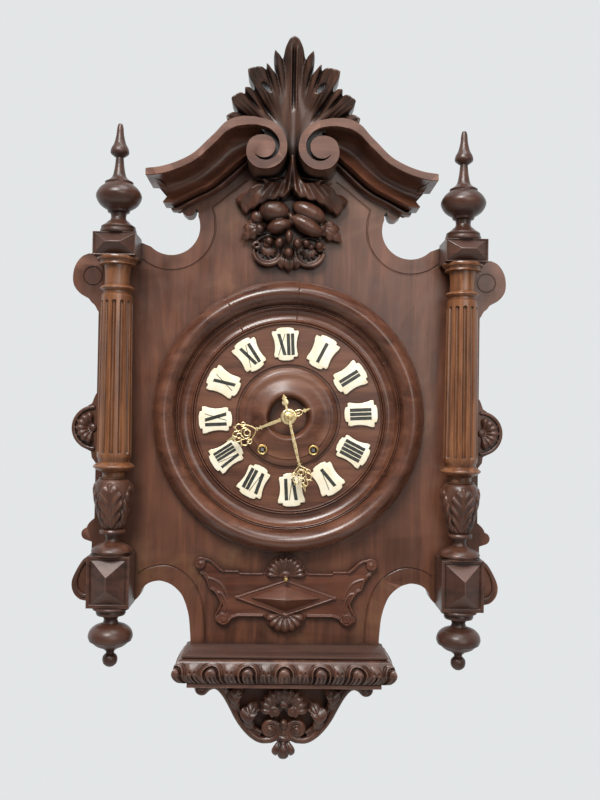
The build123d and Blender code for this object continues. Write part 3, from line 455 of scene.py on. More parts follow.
def add_relief(name, points, y_back, front, extra, material, nodes=(), edge=3.0, holes=()):
    """Slab cut to an outline, its front carved to the depth front(x, z) and rolled over at the edges.

    The extra parts are fused with it."""
    slab_front = y_back - 12.0
    obj = mesh_object(name, [plate(points, slab_front, y_back)])
    for hole in holes:
        cut(obj, [plate(hole, slab_front - 5, y_back + 5)])
    fuse(obj, RELIEF_VOXEL)
    flat = np.empty(len(obj.data.vertices) * 3)
    obj.data.vertices.foreach_get("co", flat)
    place = (flat.reshape(-1, 3) - ORIGIN) / MM
    x, z = place[:, 0], place[:, 2]
    share = np.clip((y_back - place[:, 1]) / (y_back - slab_front), 0, 1)
    rim = off_outline(points, x, z)
    for hole in holes:
        rim = np.minimum(rim, off_outline(hole, x, z))
    roll = edge * (1 - np.sqrt(np.clip(1 - (1 - np.minimum(rim, edge) / edge) ** 2, 0, 1)))
    depth = front(x, z) + roll
    place[:, 1] = y_back + (depth - y_back) * share
    skin = [tuple(f.vertices) for f in obj.data.polygons]
    verts, faces = joined([(place, skin), *extra])
    slab = obj.data
    obj.data = bpy.data.meshes.new(name)
    bpy.data.meshes.remove(slab)
    obj.data.from_pydata((verts * MM + ORIGIN).tolist(), [], faces)
    weld(obj)
    fuse(obj, RELIEF_VOXEL)
    soften(obj, 2)
    return finish_piece(obj, material, nodes, "case", 80.0)


def bell(value, middle, width):
    return np.exp(-((value - middle) / width) ** 2)


def ease(value, low, high):
    """Smooth step from zero at low to one at high."""
    t = np.clip((value - low) / (high - low), 0, 1)
    return t * t * (3 - 2 * t)


# ---------------------------------------------------------------- materials

class Shader:
    """A material with short calls for its nodes."""

    def __init__(self, name):
        self.material = bpy.data.materials.new(name)
        self.material.use_nodes = True
        self.tree = self.material.node_tree
        self.surface = self.tree.nodes["Principled BSDF"]
        self.place = self.tree.nodes.new("ShaderNodeTexCoord").outputs["Object"]

    def put(self, value, socket):
        if isinstance(value, bpy.types.NodeSocket):
            self.tree.links.new(value, socket)
        else:
            socket.default_value = value

    def stretched(self, scale):
        node = self.tree.nodes.new("ShaderNodeMapping")
        self.put(self.place, node.inputs["Vector"])
        node.inputs["Scale"].default_value = scale
        return node.outputs["Vector"]

    def noise(self, scale, detail=3.0, roughness=0.55, distortion=0.0, vector=None):
        node = self.tree.nodes.new("ShaderNodeTexNoise")
        self.put(self.place if vector is None else vector, node.inputs["Vector"])
        node.inputs["Scale"].default_value = scale
        node.inputs["Detail"].default_value = detail
        node.inputs["Roughness"].default_value = roughness
        node.inputs["Distortion"].default_value = distortion
        return node.outputs["Fac"]

    def ramp(self, factor, *stops):
        node = self.tree.nodes.new("ShaderNodeValToRGB")
        self.put(factor, node.inputs["Fac"])
        band = node.color_ramp
        while len(band.elements) < len(stops):
            band.elements.new(0.5)
        for element, (position, colour) in zip(band.elements, stops):
            element.position = position
            rgb = (colour,) * 3 if isinstance(colour, (int, float)) else colour
            element.color = (*rgb, 1.0)
        return node.outputs["Color"]

    def mix(self, factor, a, b, blend="MIX"):
        node = self.tree.nodes.new("ShaderNodeMix")
        node.data_type = "RGBA"
        node.blend_type = blend
        self.put(factor, node.inputs[0])
        self.put((*a, 1.0) if isinstance(a, tuple) else a, node.inputs[6])
        self.put((*b, 1.0) if isinstance(b, tuple) else b, node.inputs[7])
        return node.outputs[2]

    def calc(self, operation, a, b):
        node = self.tree.nodes.new("ShaderNodeMath")
        node.operation = operation
        self.put(a, node.inputs[0])
        self.put(b, node.inputs[1])
        return node.outputs[0]

    def edges(self, low=0.52, high=0.62):
        """One on worn convex edges, zero elsewhere."""
        geometry = self.tree.nodes.new("ShaderNodeNewGeometry")
        return self.ramp(geometry.outputs["Pointiness"], (low, 0.0), (high, 1.0))

    def hollows(self, distance, low=0.35, high=0.9):
        """Zero in recesses, one in the open."""
        node = self.tree.nodes.new("ShaderNodeAmbientOcclusion")
        node.samples = 6
        node.inputs["Distance"].default_value = distance
        return self.ramp(node.outputs["AO"], (low, 0.0), (high, 1.0))

    def bump(self, height, distance, strength=1.0):
        node = self.tree.nodes.new("ShaderNodeBump")
        node.inputs["Strength"].default_value = strength
        node.inputs["Distance"].default_value = distance
        self.put(height, node.inputs["Height"])
        self.put(node.outputs["Normal"], self.surface.inputs["Normal"])

    def finish(self, colour, roughness, metallic=0.0, coat=0.0, coat_roughness=0.2, specular=0.5):
        self.put(colour, self.surface.inputs["Base Color"])
        self.put(roughness, self.surface.inputs["Roughness"])
        self.surface.inputs["Metallic"].default_value = metallic
        self.surface.inputs["Coat Weight"].default_value = coat
        self.surface.inputs["Coat Roughness"].default_value = coat_roughness
        self.surface.inputs["Specular IOR Level"].default_value = specular
        return self.material


STRETCH = {"X": (0.09, 1.0, 1.0), "Z": (1.0, 1.0, 0.09)}


def wood(name, dark, middle, light, along="Z", figure=70.0, gloss=0.36, coat=0.35, wear=0.35, patch=0.0,
         patch_colour=(0.24, 0.125, 0.060), grime_and_shade=0.75, reach=0.009):
    """Old shellacked walnut: streaked grain, pores, rubbed edges, and dirt with painted shade darkening the
    hollows.
    """
    s = Shader(name)
    grain = s.stretched(STRETCH[along])
    streaks = s.noise(figure, 5.0, 0.6, 0.6, grain)
    threads = s.noise(620.0, 2.0, 0.5, 0.0, grain)
    pores = s.noise(2300.0, 1.0, 0.5, 0.0, grain)
    cloud = s.noise(11.0, 3.0, 0.6)
    colour = s.ramp(streaks, (0.30, dark), (0.52, middle), (0.74, light))
    colour = s.mix(s.ramp(threads, (0.42, 0.0), (0.75, 0.30)), colour, dark)
    colour = s.mix(s.ramp(cloud, (0.40, 0.0), (0.75, 0.45)), colour, light)
    if patch:
        colour = s.mix(s.ramp(s.noise(9.0, 4.0, 0.6, 0.4), (0.55, 0.0), (0.72, patch)), colour, patch_colour)
        colour = s.mix(s.ramp(s.noise(6.0, 3.0, 0.6), (0.30, 0.55), (0.48, 0.0)), colour, dark)
    colour = s.mix(s.calc("MULTIPLY", s.edges(), wear), colour, tuple(min(1, 1.7 * c + 0.05) for c in light))
    # Ambient occlusion darkens the hollows towards near black: dirt together with painted shade.
    soot_and_shade = tuple(0.22 * c for c in dark)
    colour = s.mix(s.calc("MULTIPLY", s.calc("SUBTRACT", 1.0, s.hollows(reach)), grime_and_shade), colour, soot_and_shade)
    roughness = s.ramp(s.noise(45.0, 4.0), (0.3, gloss - 0.08), (0.7, gloss + 0.12))
    height = s.calc("ADD", s.calc("MULTIPLY", pores, 0.5),
                    s.calc("MULTIPLY", s.noise(160.0, 3.0, 0.5, 0.3, grain), 0.9))
    s.bump(height, 0.00022, 0.55)
    return s.finish(colour, roughness, coat=coat, coat_roughness=0.25, specular=0.38)


def metal(name, bright, dull, roughness, tarnish=0.5, scale=60.0):
    """Metal with a soft tarnish and fine brush marks."""
    s = Shader(name)
    colour = s.ramp(s.noise(scale, 4.0, 0.6), (0.35, dull), (0.62, bright))
    colour = s.mix(s.calc("MULTIPLY", s.calc("SUBTRACT", 1.0, s.hollows(0.003)), tarnish), colour,
                   tuple(0.3 * c for c in dull))
    rough = s.ramp(s.noise(scale * 2, 4.0), (0.3, roughness - 0.06), (0.7, roughness + 0.10))
    s.bump(s.noise(900.0, 2.0), 0.00006, 0.4)
    return s.finish(colour, rough, metallic=1.0)


def enamel():
    """Cream fired enamel, faintly uneven, yellowed at its edges."""
    s = Shader("cream_enamel")
    colour = s.ramp(s.noise(75.0, 3.0, 0.6), (0.35, (0.84, 0.76, 0.56)), (0.65, (0.92, 0.87, 0.73)))
    colour = s.mix(s.calc("MULTIPLY", s.edges(0.51, 0.56), 0.6), colour, (0.55, 0.40, 0.20))
    colour = s.mix(s.ramp(s.noise(190.0, 4.0, 0.7), (0.60, 0.0), (0.75, 0.4)), colour, (0.60, 0.48, 0.28))
    s.bump(s.noise(130.0, 2.0), 0.00025, 0.35)
    return s.finish(colour, s.ramp(s.noise(60.0), (0.3, 0.14), (0.7, 0.26)), coat=0.5, coat_roughness=0.08)


def ink():
    """Fired black-green numeral colour, slightly worn."""
    s = Shader("numeral_ink")
    colour = s.ramp(s.noise(260.0, 3.0), (0.35, (0.018, 0.019, 0.016)), (0.7, (0.045, 0.047, 0.040)))
    s.bump(s.noise(500.0, 2.0), 0.00008, 0.4)
    return s.finish(colour, s.ramp(s.noise(90.0), (0.3, 0.30), (0.7, 0.45)))


WALNUT = wood("walnut_upright_grain", (0.036, 0.012, 0.006), (0.090, 0.031, 0.016), (0.165, 0.062, 0.032),
              "Z", patch=0.6, coat=0.2)
WALNUT_CROSS = wood("walnut_cross_grain", (0.032, 0.010, 0.006), (0.080, 0.027, 0.014),
                    (0.15, 0.060, 0.034), "X", coat=0.22)
CARVED = wood("walnut_carved", (0.028, 0.010, 0.006), (0.072, 0.027, 0.015), (0.145, 0.062, 0.038), "Z",
              wear=0.6, grime_and_shade=0.95, coat=0.25)
TURNED = wood("walnut_turned", (0.042, 0.014, 0.008), (0.105, 0.038, 0.021), (0.180, 0.074, 0.043), "X",
              gloss=0.28, coat=0.4)
SHAFTS = wood("walnut_shafts", (0.042, 0.013, 0.005), (0.138, 0.048, 0.018), (0.29, 0.122, 0.050), "Z",
              figure=130.0, wear=0.6, gloss=0.32, grime_and_shade=0.95, reach=0.004)
DIAL_WOOD = wood("walnut_dial", (0.050, 0.016, 0.009), (0.120, 0.045, 0.024), (0.19, 0.080, 0.044), "X",
                 gloss=0.40, coat=0.2)
PANEL = wood("walnut_panel", (0.040, 0.011, 0.006), (0.095, 0.029, 0.015), (0.165, 0.062, 0.033), "X",
             wear=0.45, coat=0.2)
CREST_WOOD = wood("walnut_crest", (0.016, 0.007, 0.004), (0.042, 0.017, 0.010), (0.100, 0.042, 0.024), "Z",
                  wear=0.6, grime_and_shade=1.0, coat=0.25, reach=0.014)
TURNED_DARK = wood("walnut_turned_dark", (0.020, 0.008, 0.005), (0.052, 0.020, 0.012),
                   (0.095, 0.038, 0.023), "X", gloss=0.38, coat=0.25)
# Darker, unvarnished copy of the walnut for the shelf's top: its darkness is painted shade.
SHADED_WALNUT = wood("walnut_shaded_matte", (0.018, 0.008, 0.006), (0.046, 0.019, 0.012), (0.085, 0.036, 0.023), "X",
                   gloss=0.5, coat=0.0)
CASE_WOOD = wood("case_pine", (0.11, 0.055, 0.028), (0.20, 0.105, 0.055), (0.30, 0.175, 0.095), "Z",
                 figure=45.0, gloss=0.6, coat=0.0, wear=0.2)
ENAMEL = enamel()
INK = ink()
GILT = metal("gilt_brass", (1.0, 0.84, 0.50), (0.86, 0.64, 0.30), 0.30, 0.5, 220.0)
BRASS = metal("aged_brass", (0.80, 0.58, 0.25), (0.50, 0.34, 0.13), 0.34)
STEEL = metal("blued_steel", (0.42, 0.43, 0.45), (0.25, 0.25, 0.27), 0.30)
IRON = metal("dark_iron", (0.10, 0.10, 0.105), (0.045, 0.043, 0.042), 0.50)

# ---------------------------------------------------------------- the stage

CAMERA_AT = (-6.8, -1000.0, -0.2)
CAMERA_YAW = math.radians(1.14)
CAMERA_PITCH = math.radians(1.13)
CAMERA_ROLL = math.radians(0.9)
FOCAL_SHARE = 870.0 / 800.0      # focal length over the picture's height
FLOOR_Z = -1650.0


def add_camera():
    forward = Vector((math.sin(CAMERA_YAW) * math.cos(CAMERA_PITCH),
                      math.cos(CAMERA_YAW) * math.cos(CAMERA_PITCH), math.sin(CAMERA_PITCH)))
    level = Vector((math.cos(CAMERA_YAW), -math.sin(CAMERA_YAW), 0.0))
    above = level.cross(forward)
    right = level * math.cos(CAMERA_ROLL) + above * math.sin(CAMERA_ROLL)
    up = -level * math.sin(CAMERA_ROLL) + above * math.cos(CAMERA_ROLL)
    data = bpy.data.cameras.new("camera")
    data.sensor_fit = "VERTICAL"
    data.sensor_height = 36.0
    data.lens = FOCAL_SHARE * data.sensor_height
    camera = bpy.data.objects.new("camera", data)
    bpy.context.scene.collection.objects.link(camera)
    place = Vector((np.array(CAMERA_AT) * MM + ORIGIN).tolist())
    turn = Matrix((right, up, -forward)).transposed()
    camera.matrix_world = Matrix.Translation(place) @ turn.to_4x4()
    bpy.context.scene.camera = camera


def add_light(name, at, aim, size, energy, colour=(1.0, 1.0, 1.0)):
    data = bpy.data.lights.new(name, "AREA")
    data.shape = "DISK"
    data.size = size
    data.energy = energy
    data.color = colour
    light = bpy.data.objects.new(name, data)
    bpy.context.scene.collection.objects.link(light)
    place = Vector((np.array(at) * MM + ORIGIN).tolist())
    target = Vector((np.array(aim) * MM + ORIGIN).tolist())
    light.location = place
    light.rotation_euler = (target - place).to_track_quat("-Z", "Y").to_euler()


def add_world():
    """Pale surroundings: bright behind the clock and overhead, dimmer on the viewer's side."""
    world = bpy.data.worlds.new("studio")
    bpy.context.scene.world = world
    world.use_nodes = True
    nodes = world.node_tree.nodes
    links = world.node_tree.links
    direction = nodes.new("ShaderNodeTexCoord").outputs["Generated"]
    split = nodes.new("ShaderNodeSeparateXYZ")
    links.new(direction, split.inputs[0])
    ramp = nodes.new("ShaderNodeValToRGB")
    ramp.color_ramp.elements[0].position = 0.20
    ramp.color_ramp.elements[0].color = (0.17, 0.17, 0.17, 1)
    ramp.color_ramp.elements[1].position = 0.60
    ramp.color_ramp.elements[1].color = (0.77, 0.79, 0.80, 1)
    half = nodes.new("ShaderNodeMath")
    half.operation = "MULTIPLY_ADD"
    links.new(split.outputs["Y"], half.inputs[0])
    half.inputs[1].default_value = 0.5
    half.inputs[2].default_value = 0.5
    links.new(half.outputs[0], ramp.inputs["Fac"])
    under = nodes.new("ShaderNodeMapRange")
    links.new(split.outputs["Z"], under.inputs["Value"])
    under.inputs["From Min"].default_value = -0.65
    under.inputs["From Max"].default_value = -0.43
    under.inputs["To Min"].default_value = 0.14
    under.inputs["To Max"].default_value = 1.0
    links.new(ramp.outputs["Color"], nodes["Background"].inputs["Color"])
    links.new(under.outputs["Result"], nodes["Background"].inputs["Strength"])


def add_floor():
    mesh = bpy.data.meshes.new("floor")
    corners = [(-2500, -2500, FLOOR_Z), (2500, -2500, FLOOR_Z), (2500, 2500, FLOOR_Z), (-2500, 2500, FLOOR_Z)]
    mesh.from_pydata((np.array(corners) * MM + ORIGIN).tolist(), [], [(0, 1, 2, 3)])
    floor = bpy.data.objects.new("floor", mesh)
    bpy.context.scene.collection.objects.link(floor)
    s = Shader("pale_floor")
    tone = s.ramp(s.noise(3.0), (0.3, (0.64, 0.64, 0.63)), (0.7, (0.68, 0.67, 0.66)))
    mesh.materials.append(s.finish(tone, 0.8))


bpy.context.scene.view_settings.view_transform = "Standard"
add_camera()
add_world()
add_floor()
add_light("key", (-500, -1500, 1650), (0, 0, 60), 1.0, 60.0, (1.0, 0.99, 0.97))
add_light("top", (250, -450, 1600), (0, 0, 0), 0.8, 9.0, (0.98, 0.99, 1.0))
add_light("front", (700, -1900, 600), (0, 0, -50), 1.4, 15.0, (1.0, 0.97, 0.93))

# ---------------------------------------------------------------- the carved front

BOARD_T = 20.0
BOARD_BACK = BOARD_T - 0.2         # rear faces of the shelf and the bracket below the board
ON_BOARD = -0.2                    # back faces of pieces laid on the board, just clear of it
DIAL_OPENING_R = 72.0
TOP_ARCH = (138.0, 217.0)          # centre of the round cut-out beside the dial, above
LOBE = (227.0, -137.0, 7.0)        # centre and radius of the small lobe under the middle ear
MID_EAR = (221.5, -16.0, 26.0)     # centre and radius
EAR = (226.5, 158.0)               # centre of the ring cut into the upper ear
BOARD_HALF = np.vstack([
    outline((0, 318), (45, 320), [(65, 313), (80, 300), (97, 283), (118, 267)], (138, 258), (146, 249),
            (133, 243), [(129, 240), (125.5, 233)],
            [(120.5, 229.3), (115, 229.7), (112, 233), (110, 238.5)], (107, 235)),
    arc(*TOP_ARCH, 33, 158, 314, 36),
    outline((178, 200), (200, 200), (205, 184), (232, 184),
            [(240, 180), (247, 170), (249.5, 158), (248, 147), (241, 138), (232, 133)],
            (230, 131), (228, 128), [(224, 124.5), (221, 119)], (219.5, 117), (219.5, 24), (221, 22),
            [(223, 17), (225, 12), (229, 9.5)]),
    arc(*MID_EAR, 73, -69, 40),
    outline((225, -43), (224, -50), (219.5, -56), (219.5, -119), [(224, -123), (227, -127), (228, -130)]),
    arc(*LOBE, 82, -82, 14),
    outline((222, -146), (222, -158), (226, -163),
            [(231, -166), (237, -175), (243, -188), (243.8, -197), (241, -205), (235, -211), (228, -213)],
            (222, -213), (174, -214),
            [(167, -207), (163, -198), (156, -192), (147, -189.5), (140, -190), (130, -194), (120, -203),
             (114, -215), (110, -230), (108, -250)], (107.5, -261), (0, -261))])
V_LINES = [
    np.vstack([arc(*TOP_ARCH, 50.5, -50, -180, 50), [(88, 228), (91, 240), (70, 257), (51, 272)]]),
    smooth([(91, -258), (92, -235), (95, -215), (100, -200), (108, -188), (118, -179), (130, -173),
            (140, -171.5), (150, -173), (160, -176), (168, -181)], 5)]
EAR_RING = [(9.4, -0.5), (10.1, 0.9), (10.9, 0.9), (11.6, -0.5)]


def add_board():
    board = add_piece("board_front", plate(both_sides(BOARD_HALF), 0.0, BOARD_T), WALNUT, ["main_board"])
    cut(board, [lathe_y([(0, -5), (DIAL_OPENING_R, -5), (DIAL_OPENING_R, 30), (0, 30)], 120)])
    bevelled(board, 0.8, 2)
    for line in V_LINES:
        groove = rod(line, -0.35, 1.35)
        cut(board, [groove])
        cut(board, [flip_x(groove)])
    for side in (-1, 1):
        cut(board, [lathe_y(EAR_RING, 64, x=side * EAR[0], z=EAR[1], closed=True)])
    weld(board)
    shade(board, 30)
    flat_faces(board)


def add_ear_carvings():
    """Half rosettes on the middle ears and the small scrolls on the lower ears."""
    cx, cz, r = MID_EAR
    rosette = [rod(arc(cx, cz, r - 2.4, 90, -90, 40), -0.6, 2.4, flat=0.9),
               ball((cx + 1.5, -0.6, cz), (4.5, 2.6, 4.5))]
    rosette += shell(cx + 1.0, cz, 21.0, 7, -86, 86, -1.4, 2.6)
    curl = smooth([(223, -163), (232, -172), (238, -186), (238, -198), (231, -206), (222, -206),
                   (218, -199), (221, -192), (228, -193)], 6)
    scroll = rod(curl, -0.4, 2.2, flat=0.9)
    add_carving("ear_carvings", with_mirror(*rosette, scroll), CARVED, voxel=0.55, rounds=2)


VOLUTE = (31.8, 294.5)


def volute_line(start, end, radii):
    """Points round the volute's eye from start to end degrees, with radii spread evenly between."""
    turns = np.linspace(start, end, 8 * (len(radii) - 1) + 1)
    r = smooth([(i, v) for i, v in enumerate(radii)], 8)[:, 1]
    a = np.radians(turns)
    return np.column_stack([VOLUTE[0] + r * np.cos(a), VOLUTE[1] + r * np.sin(a)])


def add_pediment(name, flip, node):
    """Broken-pediment moulding: fillet, deep cyma, recess and bead, curled into a volute."""
    top = outline((160, 268.5), [(145, 270.5), (130, 275), (115, 282), (105, 289), (95, 299), (85, 309),
                                 (75, 320), (65, 325.5), (55, 327.5), (45, 327.5), (36, 326)], steps=7)
    bottom = outline((128, 232), [(110, 243), (90, 253), (75, 264), (62, 276), (52, 286), (44, 291),
                                  (38, 288)])
    share = np.linspace(0, 1, len(top))
    length = np.r_[0, np.cumsum(np.linalg.norm(np.diff(bottom, axis=0), axis=1))]
    bottom = np.column_stack([np.interp(share, length / length[-1], bottom[:, i]) for i in (0, 1)])
    top = np.vstack([top[0], top[0] - [1.0, 0.0], top[1:]])
    bottom = np.vstack([bottom[0], bottom[0] - [0.5, -0.3], bottom[1:]])
    profile = [(0.0, -55.2), (0.02, -56.0), (0.20, -56.0), (0.215, -55.2), (0.22, -36.0)]
    profile += smooth([(0.225, -31.0), (0.29, -23.5), (0.40, -19.8), (0.53, -19.4), (0.66, -22.0),
                       (0.77, -26.0), (0.82, -27.4)], 3).tolist()
    profile += [(0.835, -26.4), (0.84, -17.0)]
    profile += [(0.85, -9.0), (0.88, -8.2), (0.895, -11.5), (0.915, -13.0), (0.955, -13.0), (0.975, -11.5),
                (0.98, -1.0), (1.0, -0.4)]
    band = relief_band(top, bottom, profile, setback=30.0)

    rim = volute_line(90, 450, [30.4, 28.0, 26.2, 25.6, 25.4, 24.8, 24.2, 23.4, 21.2, 18.4, 16.6, 14.2, 12.8])
    eye = volute_line(90, 322, [12.8, 13.0, 12.8, 12.4, 12.2, 12.0, 12.2])
    groove = volute_line(322, 90, [12.6, 14.2, 15.6, 16.8, 17.8, 19.2, 22.2])
    face = np.vstack([[(62, 326.2), (54, 327.4), (43, 327.2)], rim[1:-1], eye, groove,
                      [(40, 318.4), (50, 318.3), (61, 316.5)]])
    front = plate(face, -56.4, -46.0)
    barrel = plate(rim, -46.0, -0.2)
    filling = plate([(30, 303), (41, 303), (41, 325), (30, 324)], -20.0, -0.3)
    parts = [band, front]
    # The volute's underside and the filling behind it are laid in the darkest walnut as painted shade.
    shaded_parts = [barrel, filling]
    if flip:
        parts = [flip_x(part) for part in parts]
        shaded_parts = [flip_x(part) for part in shaded_parts]
    moulding = add_piece(name, parts, WALNUT_CROSS, [node], sharp=32)
    bevelled(moulding, 0.45, 2, 50)
    shade(moulding, 32)
    flat_faces(moulding)
    add_piece(name + "_barrel", shaded_parts, CREST_WOOD)


CREST_CENTRE = 305.0
CREST_TIPS = (0.0, 12.5, 20.5, 32.6, 44.5, 58.0, 73.0)         # degrees from upright
CREST_NOTCHES = (7.7, 14.3, 21.6, 38.2, 46.8, 63.0)


def crest_front(x, z):
    """Depth of the palmette: lobes rolled between valleys, leaning out at their tips, and a split rib."""
    side = np.abs(x)
    up = z - CREST_CENTRE
    r = np.hypot(side, up)
    turn = np.degrees(np.arctan2(side, np.maximum(up, 0.01)))
    reach = np.interp(turn, CREST_TIPS, (112, 97, 86, 90, 76, 79, 76))
    t = r / reach
    depth = -34.0 - 19.0 * np.clip(t, 0, 1.05) ** 2.4
    bounds = np.r_[-7.7, CREST_NOTCHES, 84.0]
    for i in range(len(CREST_TIPS)):
        low, high = bounds[i], bounds[i + 1]
        inside = (turn >= low) & (turn < high)
        across = (turn - (low + high) / 2) / ((high - low) / 2)
        size = min(1.0, (high - low) / 13.0)
        depth -= inside * 4.4 * size * np.sqrt(np.clip(1 - across ** 2, 0, 1)) * ease(t, 0.45, 0.85)
        if size > 0.9 and i:
            depth += inside * 1.6 * bell(across, -0.1, 0.10) * ease(t, 0.42, 0.7)
            depth += inside * 0.9 * bell(across, 0.42, 0.10) * ease(t, 0.5, 0.8)
    for notch, start in zip(CREST_NOTCHES, (0.72, 0.55, 0.62, 0.34, 0.60, 0.36)):
        off = np.radians(turn - notch) * r
        depth += 4.6 * bell(off, 0, 1.9) * ease(t, start, start + 0.25)
    depth += 6.5 * (bell(turn, 37.0, 7.0) * bell(t, 0.62, 0.15) + bell(turn, 62.0, 8.0) * bell(t, 0.55, 0.2))
    depth += 3.0 * ease(side, 5.0, 20.0) * bell(z, 332, 24)
    depth -= 4.5 * bell(side, 0, 6.0) * (1 - ease(z, 325, 385))
    depth += 9.0 * ease(-z, -302.0, -274.0)
    split = ease(z, 338, 352) * (1 - ease(z, 400, 410))
    depth -= split * (2.4 * bell(side, 3.0, 0.9) - 3.4 * bell(side, 0, 1.5))
    depth += 2.5 * bell(side, 8.5, 2.4) * bell(z, 388, 20)
    return np.maximum(depth, -58.5)


def add_crest():
    """Palmette: one outline of rolled lobes with two pierced holes, on a stem block."""
    half = outline((0, 417.4), [(5, 414.4), (9.4, 407), (11.6, 399.5)], (12.9, 395.4), (15, 397.6),
                   (21.2, 402.4), [(22.6, 397), (22.2, 390), (20.8, 384)], (19, 378.8),
                   [(23.5, 382), (27, 385.4)], (30.4, 388.2), (30.8, 382.6), [(36, 383.4), (43, 382.6)],
                   (50.6, 380.2), [(50.2, 375), (47.8, 369.5), (44.6, 365.5)], (43.2, 361.0), [(48, 362)],
                   (53.8, 360.6), (54, 355.6), [(59, 354.6), (64, 351.8)], (68.6, 348.0),
                   [(66.4, 342.5), (63.6, 339.5)], (61.4, 336.4), [(66, 334.6), (70, 332)], (73.8, 328.6),
                   (72.2, 323.5), (69, 320), (50, 322), (30, 318), (13, 306), (7.4, 299),
                   [(5.0, 292), (3.8, 284)], (2.6, 273), (0, 272))
    hole = smooth([(24.5, 360.5), (28, 365.5), (33, 368), (35.5, 366.6), (31.5, 362.8), (27, 359.8)], 4)
    block = plate(both_sides([(0, 330), (5.0, 330), (3.6, 288), (2.2, 274), (0, 273)]), -26.0, -0.3)
    add_relief("crest_leaves", both_sides(half), -24.6, crest_front, [block], CREST_WOOD,
               ["crest_palmette"], 2.0, [hole, hole * [-1, 1]])


SWAG_TOP = 292.0


def swag_front(x, z):
    """Depth of the two spreading leaves: folds that fan from the knot above, curled at their ends."""
    side = np.abs(x)
    down = SWAG_TOP - z
    r = np.hypot(side, down)
    turn = np.degrees(np.arctan2(side, np.maximum(down, 0.01)))
    depth = -15.0 - 11.0 * ease(r, 16, 44) + 15.0 * ease(r, 56, 84)
    depth -= (20.0 * ease(z, 258, 284) + 5.0) * bell(x, 0, 7.5)
    folds = np.interp(turn, (0, 7, 14, 22, 30, 37, 44, 51, 57, 64, 72),
                      (0, 3.0, 0.4, 3.6, 0.4, 3.8, 0.6, 3.8, 0.8, 2.6, 0))
    depth -= folds * ease(r, 6, 28)
    depth += 3.0 * bell(x, 0, 1.0) * ease(down, 10, 24)
    return depth


def shell_cup(x, z, r, out):
    """Open cup at the swag's foot: a rolled rim below, a curl at its outer end and petals inside."""
    rim = arc(x, z, r - 2.2, 192 if out < 0 else 175, 365 if out < 0 else 348, 34)
    curl = spiral(x + out * (r - 6.6), z + 3.5, 4.6, 1.6, 0 if out > 0 else 180, 0.9 * out, 24)
    parts = [rod(rim, -8.6, 2.5, 12), rod(curl, -9.4, 2.0),
             rod(arc(x, z, r - 6.4, 195, 345, 26), -6.6, 1.3),
             lathe_y([(0, -3.0), (r - 7, -3.4), (r - 4, -6.6), (r - 1.4, -6.6), (r - 0.6, 0), (0, 0)], 60,
                     x=x, z=z)]
    for i in range(5):
        a = math.radians(200 + 35 * i)
        tip = (x + (r - 7.5) * math.cos(a), -5.0, z + (r - 7.5) * math.sin(a))
        parts.append(leaf([(x, -6.5, z + 4), ((x + tip[0]) / 2, -7.6, (z + 4 + tip[2]) / 2), tip], 2.6, 0,
                          0.5, 0.3, 0.0, 2.5, rows=18, cols=9))
    parts += [ball((x + 1.5 * out, -8.5, z + 5.5), (4.6, 4.2, 3.6)),
              ball((x - 5 * out, -8.5, z + 8.5), (3.8, 4, 3.2))]
    return parts


